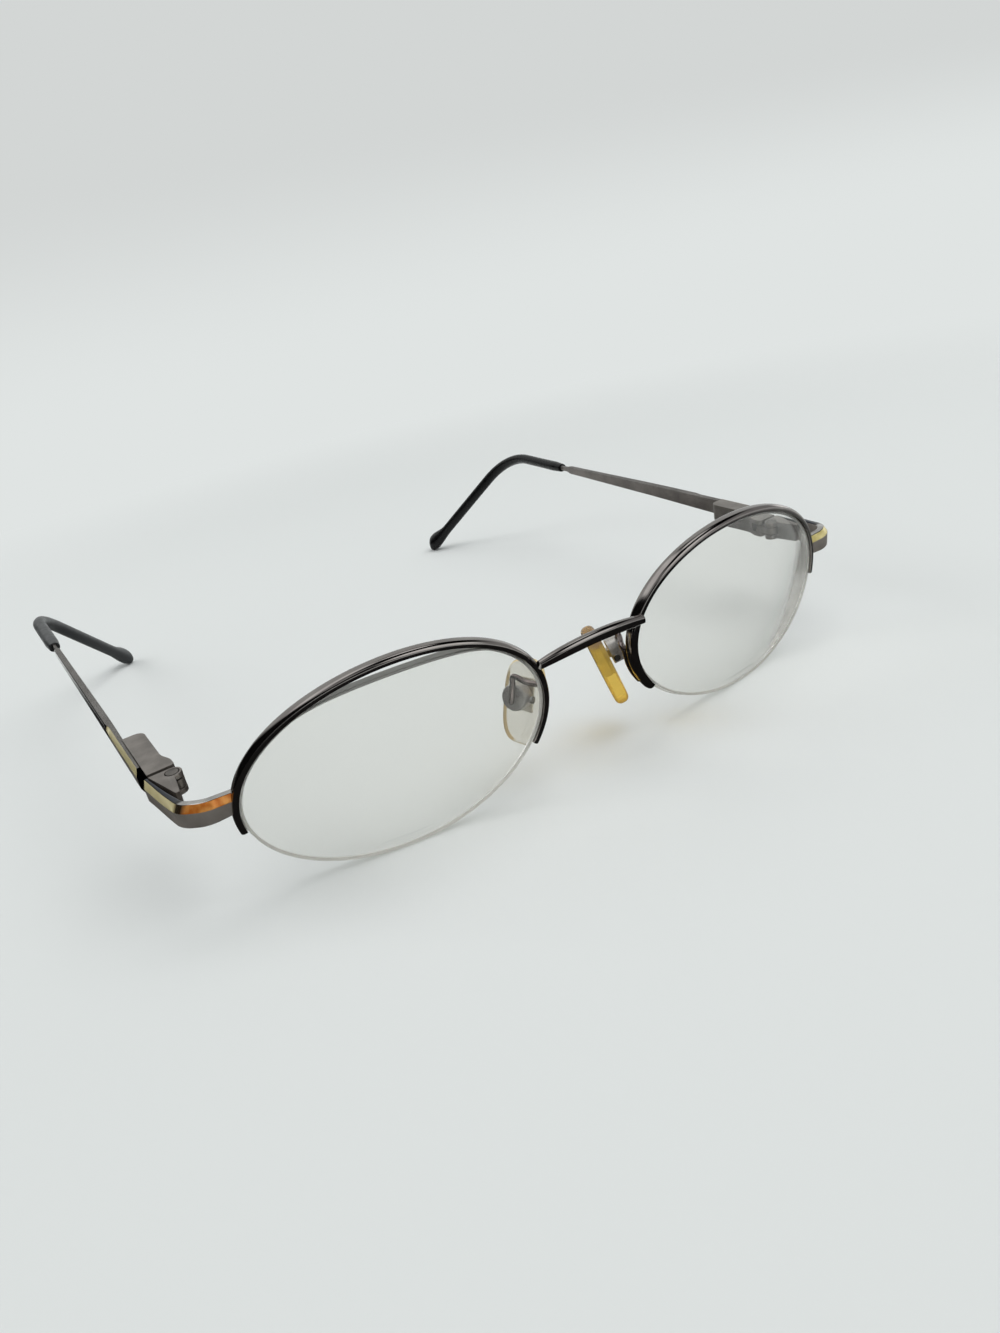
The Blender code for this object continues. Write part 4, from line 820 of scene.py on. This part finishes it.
def refined(name, node, body, side, width, grow):
    # A copy of a solid's mesh with merged points, whole flat faces and softened edges. Where
    # it has to reach what it is brazed to, its points are moved in the hinge's own frame.
    mesh = frame["nodes"][node].data.copy()
    mesh.name = name
    mesh.materials.clear()
    mesh.materials.append(satinHinge)
    shell = bmesh.new()
    shell.from_mesh(mesh)
    bmesh.ops.remove_doubles(shell, verts=shell.verts, dist=refine["merge"])
    bmesh.ops.dissolve_limit(shell, angle_limit=np.radians(refine["flat"]), verts=shell.verts,
                             edges=shell.edges)
    shell.to_mesh(mesh)
    shell.free()
    if grow:
        points = np.empty(len(mesh.vertices) * 3, np.float32)
        mesh.vertices.foreach_get("co", points)
        local = ((points.reshape(-1, 3) - leanOrigin) @ leanTurn / mm) * (side, 1, 1)
        local = grow((local - pivot) @ buttTurn)
        moved = toWorld(hingePlace(local), side).astype(np.float32)
        mesh.vertices.foreach_set("co", moved.reshape(-1))
    mesh.shade_smooth()
    mesh.set_sharp_from_angle(angle=np.radians(refine["sharp"]))
    piece = addObject(name, mesh)
    soften = piece.modifiers.new("soften", "BEVEL")
    soften.width = width * mm
    soften.segments = refine["segments"]
    soften.limit_method = "ANGLE"
    soften.angle_limit = np.radians(refine["sharp"])
    soften.harden_normals = True
    settle(piece, body, node)


def reachBar(local):
    # Points on the face beside the bar move out to meet it.
    beside = local[:, 0] > hinge["in"] - bar["thickness"] / 2 - gaps["seat"] - onFace
    local[beside, 0] += toBar
    return local


def reachEndpiece(local):
    # The leaf's outer face moves out to meet the endpiece, the more the further it lies from
    # the butt.
    beside = (local[:, 0] > hinge["leafFace"]) & (local[:, 1] < hinge["ahead"])
    away = hinge["ahead"] - local[beside, 1]
    local[beside, 0] += toBar + hinge["leafSlant"] * away
    return local


def makeHinge(hand, side):
    # The leaf, the slider and the housing, with the widths of their softened edges.
    for name, node, body, width, grow in (
            ("leaf_", "hinge_leaf_", "front", 0.08, reachEndpiece),
            ("slider_", "hinge_slider_", "slider_" + hand, 0.06, None),
            ("housing_", "spring_housing_", "temple_" + hand, 0.1, reachBar)):
        refined(name + hand, node + hand, body, side, width, grow)


# Nose pads and what holds them

pad = {"back": 8.2, "drop": 7.4, "shift": 0.1, "frontal": 18.5, "splay": 21.5,
       "length": {1: 15.2, -1: 14.3}, "width": 7.6, "thickness": 2.4, "round": 1.0, "square": 3.3,
       "sides": 72, "edgeSteps": 17, "faceRings": 8, "middle": 0.06, "borderStart": 4,
       "topReflection": (3.2, 1.4)}
box = {"rise": 1.9, "radius": 2.2, "wall": 0.5, "depth": 2.1, "gap": 0.45, "round": 0.35,
       "inRound": 0.25, "mouthRound": 0.1, "chamfer": (0.06, 0.08), "middle": 0.02, "sides": 48,
       "roundSteps": 6}
arm = {"radius": 0.45, "low": 2.0, "top": 188.0, "leave": (0.0, 0.84, 0.96), "crestUp": 1.2,
       "crestBack": 0.36, "landUp": 1.68, "onBox": (0.9, -0.5), "rimKnots": 4, "knotSteps": 14,
       "endRun": 0.025, "endLeast": 0.05}

padOrigin = edgePoint(180.0, rimOuter, 0.0) + (pad["shift"], pad["back"], -pad["drop"])
padTurn = turnAbout("Z", -pad["splay"]) @ turnAbout("Y", -pad["frontal"])
boxMouth = pad["thickness"] / 2 + box["gap"]
boxBack = boxMouth + box["depth"]


def padPlace(points):
    # The pad's frame: its own middle, splayed and leaned as the nose asks.
    return inPlace(points, padOrigin, padTurn)


# A painted reflection browns the amber one at its upper end
padTop = toWorld(padPlace(np.array((0.0, 0.0, pad["length"][1] / 2))), 1)[2]
changeAlong(agedSilicone, "Z", *(padTop - below * mm for below in pad["topReflection"]), "#A58A70")
padSilicone = {1: [agedSilicone, agedSilicone], -1: [clearSilicone, edgeGlowSilicone]}


def makePad(hand, side):
    # A soft oblong: two faces of shrinking superellipses, joined by an edge whose depth runs as
    # r sin and whose inset runs as r (1 - cos).
    ovalY, ovalZ = superRing(pad["sides"], pad["square"])
    half, r = pad["thickness"] / 2, pad["round"]
    lift = np.radians(np.linspace(-90.0, 90.0, pad["edgeSteps"]))
    edgeX = np.sign(lift) * (half - r) + r * np.sin(lift)
    edgeInset = r * (1 - np.cos(lift))
    shares = np.linspace(pad["middle"], 1.0, pad["faceRings"] + 1)[:-1]
    rows = [(-half, r, share) for share in shares]
    rows += [(x, inset, 1.0) for x, inset in zip(edgeX, edgeInset)]
    rows += [(half, r, share) for share in shares[::-1]]
    x, inset, share = np.array(rows).T[:, :, None]
    y = ovalY * (pad["width"] / 2 - inset) * share
    length, full = pad["length"][side], pad["length"][1]
    z = ovalZ * (length / 2 - inset) * share + (full - length) / 2
    rings = padPlace(np.stack((np.broadcast_to(x, y.shape), y, z), -1))
    # The border strips take the second material: on the clear pad, its painted edge glow
    border = np.zeros((len(rings) - 1, 1), int)
    plain = pad["faceRings"] + pad["borderStart"]
    border[plain:-plain] = 1
    addRings("nose_pad_" + hand, rings, side, "pad_" + hand, padSilicone[side], border,
             sharp=60.0)


def makeBox(hand, side):
    # A turned cup with a rounded back, open towards the pad: a profile of depth and radius.
    radius, inner, back = box["radius"], box["radius"] - box["wall"], boxBack - box["wall"]
    deep, wide = box["chamfer"]
    bend = np.radians(np.linspace(0.0, 90.0, box["roundSteps"]))
    profile = [(back, box["middle"]), (back, inner - box["inRound"]), (back - box["inRound"], inner),
               (boxMouth + deep, inner), (boxMouth, inner + wide),
               (boxMouth, radius - box["mouthRound"]), (boxMouth + box["mouthRound"], radius)]
    profile += zip(boxBack - box["round"] * (1 - np.sin(bend)),
                   radius - box["round"] * (1 - np.cos(bend)))
    profile += [(boxBack, box["middle"])]
    along, size = np.array(profile).T[:, :, None]
    c, s = circle(box["sides"])
    points = np.stack(np.broadcast_arrays(along, size * c, box["rise"] + size * s), -1)
    addRings("pad_box_" + hand, padPlace(points), side, "front", [pressedNickel], sharp=40.0)


def smoothCurve(knots, steps):
    # A Catmull-Rom curve through the knots.
    knots = np.asarray(knots)
    padded = np.concatenate((2 * knots[:1] - knots[1:2], knots, 2 * knots[-1:] - knots[-2:-1]))
    before, near, far, after = (points[:, None] for points in (
        padded[:-3], padded[1:-2], padded[2:-1], padded[3:]))
    t = np.linspace(0.0, 1.0, steps, endpoint=False)[None, :, None]
    curve = 0.5 * (2 * near + (far - before) * t + (2 * before - 5 * near + 4 * far - after) * t ** 2
                   + (3 * near - before - 3 * far + after) * t ** 3)
    return np.concatenate((curve.reshape(-1, 3), knots[-1:]))


def roundWire(path, radius, beside, sides=20):
    # A round section carried along a path, kept square to it; beside never lies along it.
    tangent = unit(np.gradient(path, axis=0))
    first = unit(np.cross(tangent, beside))
    section = np.stack(circle(sides), -1) * np.reshape(radius, (-1, 1, 1))
    return alongPath(path, first, np.cross(tangent, first), section)


def makeArm(hand, side):
    # Plated wire: up the back of the rim, over in a loop, down the back of the pad's box. Its
    # ends are rounded: the radius shrinks as sqrt(1 - u^2) over the last of the run.
    onRim = edgePoint(np.linspace(rim["end"] - arm["low"], arm["top"], arm["rimKnots"]),
                      gaps["fit"] + rim["wall"] / 2, rimBack + arm["radius"] - joined)
    top = onRim[-1]
    lap = boxBack + arm["radius"] - joined
    boxTop, boxLow = (padPlace(np.array((lap, 0.0, box["rise"] + box["radius"] * share)))
                      for share in arm["onBox"])
    crest = (top + boxTop) / 2
    crest[1:] = crest[1] + arm["crestBack"], top[2] + arm["crestUp"]
    path = smoothCurve((*onRim, top + arm["leave"], crest,
                        boxTop + (-arm["radius"], 0.0, arm["landUp"]), boxTop, boxLow),
                       arm["knotSteps"])
    run = np.linspace(0.0, 1.0, len(path))
    ending = np.clip(1 - np.minimum(run, 1 - run) / arm["endRun"], 0, 1)
    size = np.sqrt(np.clip(1 - ending ** 2, arm["endLeast"], 1))
    rings = roundWire(path, arm["radius"] * size, (1.0, 0.0, 0.0))
    addRings("pad_arm_" + hand, rings, side, "front", [platedWire], sharp=50.0)


for hand, side in sides.items():
    for make in (makeLens, makeRim, makeLiner, makeCord, makeEndpiece, makeTemple, makeTip,
                 makeHinge, makePad, makeBox, makeArm):
        make(hand, side)
makeBridge()
print("pieces made")

smallFinish = {"hinge_screw_": tumbledScrew, "hinge_bush_": turnedSteel, "spring_stop_": turnedSteel,
               "hinge_spring_": turnedSteel, "pad_screw_": turnedSteel, "pad_insert_": tinnedPlate}
for hand in sides:
    for node, finish in smallFinish.items():
        cadPiece = frame["nodes"][node + hand]
        cadPiece.data.materials.clear()
        cadPiece.data.materials.append(finish)
print("small parts finished")


# Studio, in metres

# The pinhole that the photograph's view of both lenses and temples fits: its focal length in
# pixels, its axes and its place, in the front's frame and in millimetres
photo = {"height": 1333, "focal": 1009.89, "sensor": 36.0, "clip": (0.005, 20.0),
         "right": (0.8371, -0.5318, -0.1283), "down": (-0.367, -0.3719, -0.8526),
         "ahead": (0.4057, 0.7608, -0.5065), "place": (-76.1, -113.5, 84.5)}


def makeCamera():
    # The sensor lies along the picture's height, so the lens is its share focal / height.
    data = bpy.data.cameras.new("camera")
    camera = addObject("camera", data)
    data.sensor_width = photo["sensor"]
    data.lens = photo["focal"] / photo["height"] * photo["sensor"]
    data.clip_start, data.clip_end = photo["clip"]
    axes = leanTurn @ np.array((photo["right"], np.negative(photo["down"]),
                                np.negative(photo["ahead"]))).T
    place = toWorld(np.array(photo["place"]), 1)
    camera.matrix_world = Matrix.Translation(Vector(place)) @ Matrix(axes.tolist()).to_4x4()
    bpy.context.scene.camera = camera


sheet = {"paper": "#E2E5E4", "low": "#E0E4E3", "high": "#D3D6D5", "near": 0.2, "far": 0.42,
         "fadeHeight": 0.35, "half": 4.0, "front": -3.0, "back": 1.0, "radius": 1.0, "rise": 2.5,
         "flatShare": 0.5, "bendShare": 0.3, "steps": 48}


def paperMaterial():
    # Matt white paper. Near the object it is lit paint that keeps shadows. Further off, what
    # the eye, gloss and glass see is a set pale tone, which turns a little darker above.
    material, tree, shader, output, place = newMaterial("mattPaper", {
        "Base Color": sheet["paper"], "Roughness": 0.9, "Specular IOR Level": 0.1})
    distance = addNode(tree, "ShaderNodeVectorMath", {0: place}, operation="LENGTH").outputs["Value"]
    away = addNode(tree, "ShaderNodeMapRange", {
        "Value": distance, "From Min": sheet["near"], "From Max": sheet["far"]},
                   interpolation_type="SMOOTHSTEP")
    height = addNode(tree, "ShaderNodeSeparateXYZ", {"Vector": place}).outputs["Z"]
    up = addNode(tree, "ShaderNodeMapRange", {"Value": height, "From Max": sheet["fadeHeight"]},
                 interpolation_type="SMOOTHSTEP")
    tone = addNode(tree, "ShaderNodeMix", {"Factor": up.outputs["Result"], "A": sheet["low"],
                                           "B": sheet["high"]}, data_type="RGBA")
    rays = addNode(tree, "ShaderNodeLightPath")
    seen = rays.outputs["Is Camera Ray"]
    for ray in ("Is Glossy Ray", "Is Transmission Ray"):
        seen = addNode(tree, "ShaderNodeMath", {0: seen, 1: rays.outputs[ray]},
                       operation="MAXIMUM").outputs[0]
    share = addNode(tree, "ShaderNodeMath", {0: seen, 1: away.outputs["Result"]}, operation="MULTIPLY")
    glow = addNode(tree, "ShaderNodeEmission", {"Color": tone.outputs["Result"], "Strength": 1.0})
    both = addNode(tree, "ShaderNodeMixShader", {0: share.outputs[0], 1: shader.outputs["BSDF"],
                                                 2: glow.outputs["Emission"]})
    tree.links.new(both.outputs["Shader"], output.inputs["Surface"])
    return material


def addStage(name, points, faces, material):
    # A plain mesh that belongs to the studio.
    mesh = bpy.data.meshes.new(name)
    mesh.from_pydata(points, [], faces)
    mesh.shade_smooth()
    mesh.materials.append(material)
    piece = addObject(name, mesh)
    return piece


def makeFloor():
    # A sheet that runs back, then sweeps up behind: y and z along it, x across.
    run = np.linspace(0.0, 1.0, sheet["steps"])
    flat, bent = sheet["flatShare"], sheet["flatShare"] + sheet["bendShare"]
    bend = np.radians(np.clip((run - flat) / sheet["bendShare"], 0, 1) * 90)
    y = np.where(run < flat, between((sheet["front"], sheet["back"]), run / flat),
                 sheet["back"] + sheet["radius"] * np.sin(bend))
    z = sheet["radius"] * (1 - np.cos(bend)) + np.clip(run - bent, 0, 1) / (1 - bent) * sheet["rise"]
    edges = (-sheet["half"], sheet["half"])
    rows = np.stack([np.stack((np.full_like(y, x), y, z), -1) for x in edges], 1)
    quads = [(2 * k, 2 * k + 1, 2 * k + 3, 2 * k + 2) for k in range(len(run) - 1)]
    addStage("floor", rows.reshape(-1, 3).tolist(), quads, paperMaterial())


# Middle, half reach and tone of each dark cloth
flags = {"floorFlag": ((-0.14, -0.07, 0.0004), (0.34, 0.2, 0.0), "#2A2929"),
         "sideFlag": ((-0.25, -0.07, 0.1), (0.0, 0.85, 0.27), "#161515")}


def makeFlag(name, centre, reach, tone, thinsFrom=0.6):
    # Dark cloth beside the glasses, which thins out from a share of its reach. Only gloss sees it.
    material, tree, shader, output, place = newMaterial(name + "Cloth", {
        "Base Color": tone, "Roughness": 1.0, "Specular IOR Level": 0.0})
    away = addNode(tree, "ShaderNodeVectorMath", {0: place, 1: centre}, operation="SUBTRACT")
    share = addNode(tree, "ShaderNodeVectorMath", {
        0: away.outputs["Vector"], 1: [1 / r if r else 0.0 for r in reach]}, operation="MULTIPLY")
    size = addNode(tree, "ShaderNodeVectorMath", {0: share.outputs["Vector"]}, operation="LENGTH")
    thin = addNode(tree, "ShaderNodeMapRange", {"Value": size.outputs["Value"], "From Min": thinsFrom},
                   interpolation_type="SMOOTHSTEP")
    clear = addNode(tree, "ShaderNodeBsdfTransparent")
    both = addNode(tree, "ShaderNodeMixShader", {0: thin.outputs["Result"], 1: shader.outputs["BSDF"],
                                                 2: clear.outputs["BSDF"]})
    tree.links.new(both.outputs["Shader"], output.inputs["Surface"])
    first, second = (np.eye(3)[axis] * reach[axis] for axis in range(3) if reach[axis])
    corners = [tuple(np.array(centre) + u * first + v * second)
               for u, v in ((-1, -1), (1, -1), (1, 1), (-1, 1))]
    flag = addStage(name, corners, [(0, 1, 2, 3)], material)
    flag.visible_camera = flag.visible_diffuse = flag.visible_transmission = False
    flag.visible_shadow = False


# Place, sides and watts of each lamp. Both aim at the middle of the glasses.
lamps = {"keyLamp": ((0.3, -0.2, 0.8), (0.8, 0.8), 3.6),
         "fillLamp": ((-0.5, 0.4, 0.45), (0.4, 0.3), 1.3)}


def makeLamp(name, place, size, power):
    # A rectangle of light for matt surfaces. Gloss sees the world's soft boxes instead.
    lamp = addObject(name, bpy.data.lights.new(name, "AREA"))
    lamp.data.shape = "RECTANGLE"
    lamp.data.size, lamp.data.size_y = size
    lamp.data.energy = power
    lamp.visible_glossy = False
    lamp.location = place
    lamp.rotation_euler = (-Vector(place)).to_track_quat("-Z", "Y").to_euler()


# Bearing from the back towards the right, height, the cosines where it starts and is full, level
boxes = {"topBox": (-40.0, 66.0, 0.88, 0.95, 1.4), "leftBox": (-98.0, 56.0, 0.93, 0.98, 1.2),
         "backBox": (2.0, 32.0, 0.86, 0.95, 0.6), "frontBox": (155.0, 24.0, 0.88, 0.96, 1.5),
         "rightBox": (75.0, -4.0, 0.92, 0.98, 1.8), "glowBox": (-140.0, 42.0, 0.86, 0.95, 0.45),
         "lowBox": (-110.0, -22.0, 0.9, 0.97, 0.3), "sparkBox": (60.0, 68.0, 0.97, 0.99, 1.5)}
# A pale right side: its level, direction and cosines, and the heights between which it shows
paleSide = {"level": 0.45, "toward": (1.0, 0.1, 0.0), "ramp": (-0.2, 0.35),
            "low": (-0.8, -0.4), "high": (0.65, 0.42)}
room = {"matt": 0.61, "seen": 0.7, "tone": "#F2F4F4"}   # its even light, and how bright it looks


def makeWorld():
    # Even light for matt surfaces. Gloss sees the brightest of the soft boxes and the pale side
    # in each direction, in an otherwise dark room.
    world = bpy.data.worlds.new("studio")
    bpy.context.scene.world = world
    world.use_nodes = True
    tree = world.node_tree
    tree.nodes.clear()
    way = addNode(tree, "ShaderNodeTexCoord").outputs["Generated"]
    height = addNode(tree, "ShaderNodeSeparateXYZ", {"Vector": way}).outputs["Z"]

    def toward(direction, start, full, level):
        # A soft patch of light: the cosine to its direction, eased between two values.
        share = addNode(tree, "ShaderNodeVectorMath", {0: way, 1: direction}, operation="DOT_PRODUCT")
        return addNode(tree, "ShaderNodeMapRange", {"Value": share.outputs["Value"], "From Min": start,
                                                    "From Max": full, "To Max": level},
                       interpolation_type="SMOOTHSTEP").outputs["Result"]

    gloss = toward(paleSide["toward"], *paleSide["ramp"], paleSide["level"])
    for start, full in (paleSide["low"], paleSide["high"]):
        fade = addNode(tree, "ShaderNodeMapRange", {"Value": height, "From Min": start,
                                                    "From Max": full}, interpolation_type="SMOOTHSTEP")
        gloss = addNode(tree, "ShaderNodeMath", {0: gloss, 1: fade.outputs["Result"]},
                        operation="MULTIPLY").outputs[0]
    for bearing, lift, start, full, level in boxes.values():
        turn, rise = np.radians(bearing), np.radians(lift)
        direction = (np.cos(rise) * np.sin(turn), np.cos(rise) * np.cos(turn), np.sin(rise))
        gloss = addNode(tree, "ShaderNodeMath", {0: gloss, 1: toward(direction, start, full, level)},
                        operation="MAXIMUM").outputs[0]
    rays = addNode(tree, "ShaderNodeLightPath")
    strength = addNode(tree, "ShaderNodeMix", {0: rays.outputs["Is Glossy Ray"], 2: room["matt"],
                                               3: gloss})
    seen = addNode(tree, "ShaderNodeMix", {0: rays.outputs["Is Camera Ray"], 2: strength.outputs[0],
                                           3: room["seen"]})
    glow = addNode(tree, "ShaderNodeBackground", {"Color": room["tone"], "Strength": seen.outputs[0]})
    addNode(tree, "ShaderNodeOutputWorld", {"Surface": glow.outputs["Background"]})


makeCamera()
makeFloor()
for name, settings in flags.items():
    makeFlag(name, *settings)
for name, settings in lamps.items():
    makeLamp(name, *settings)
makeWorld()
bpy.context.scene.view_settings.view_transform = "Standard"
print("studio made")
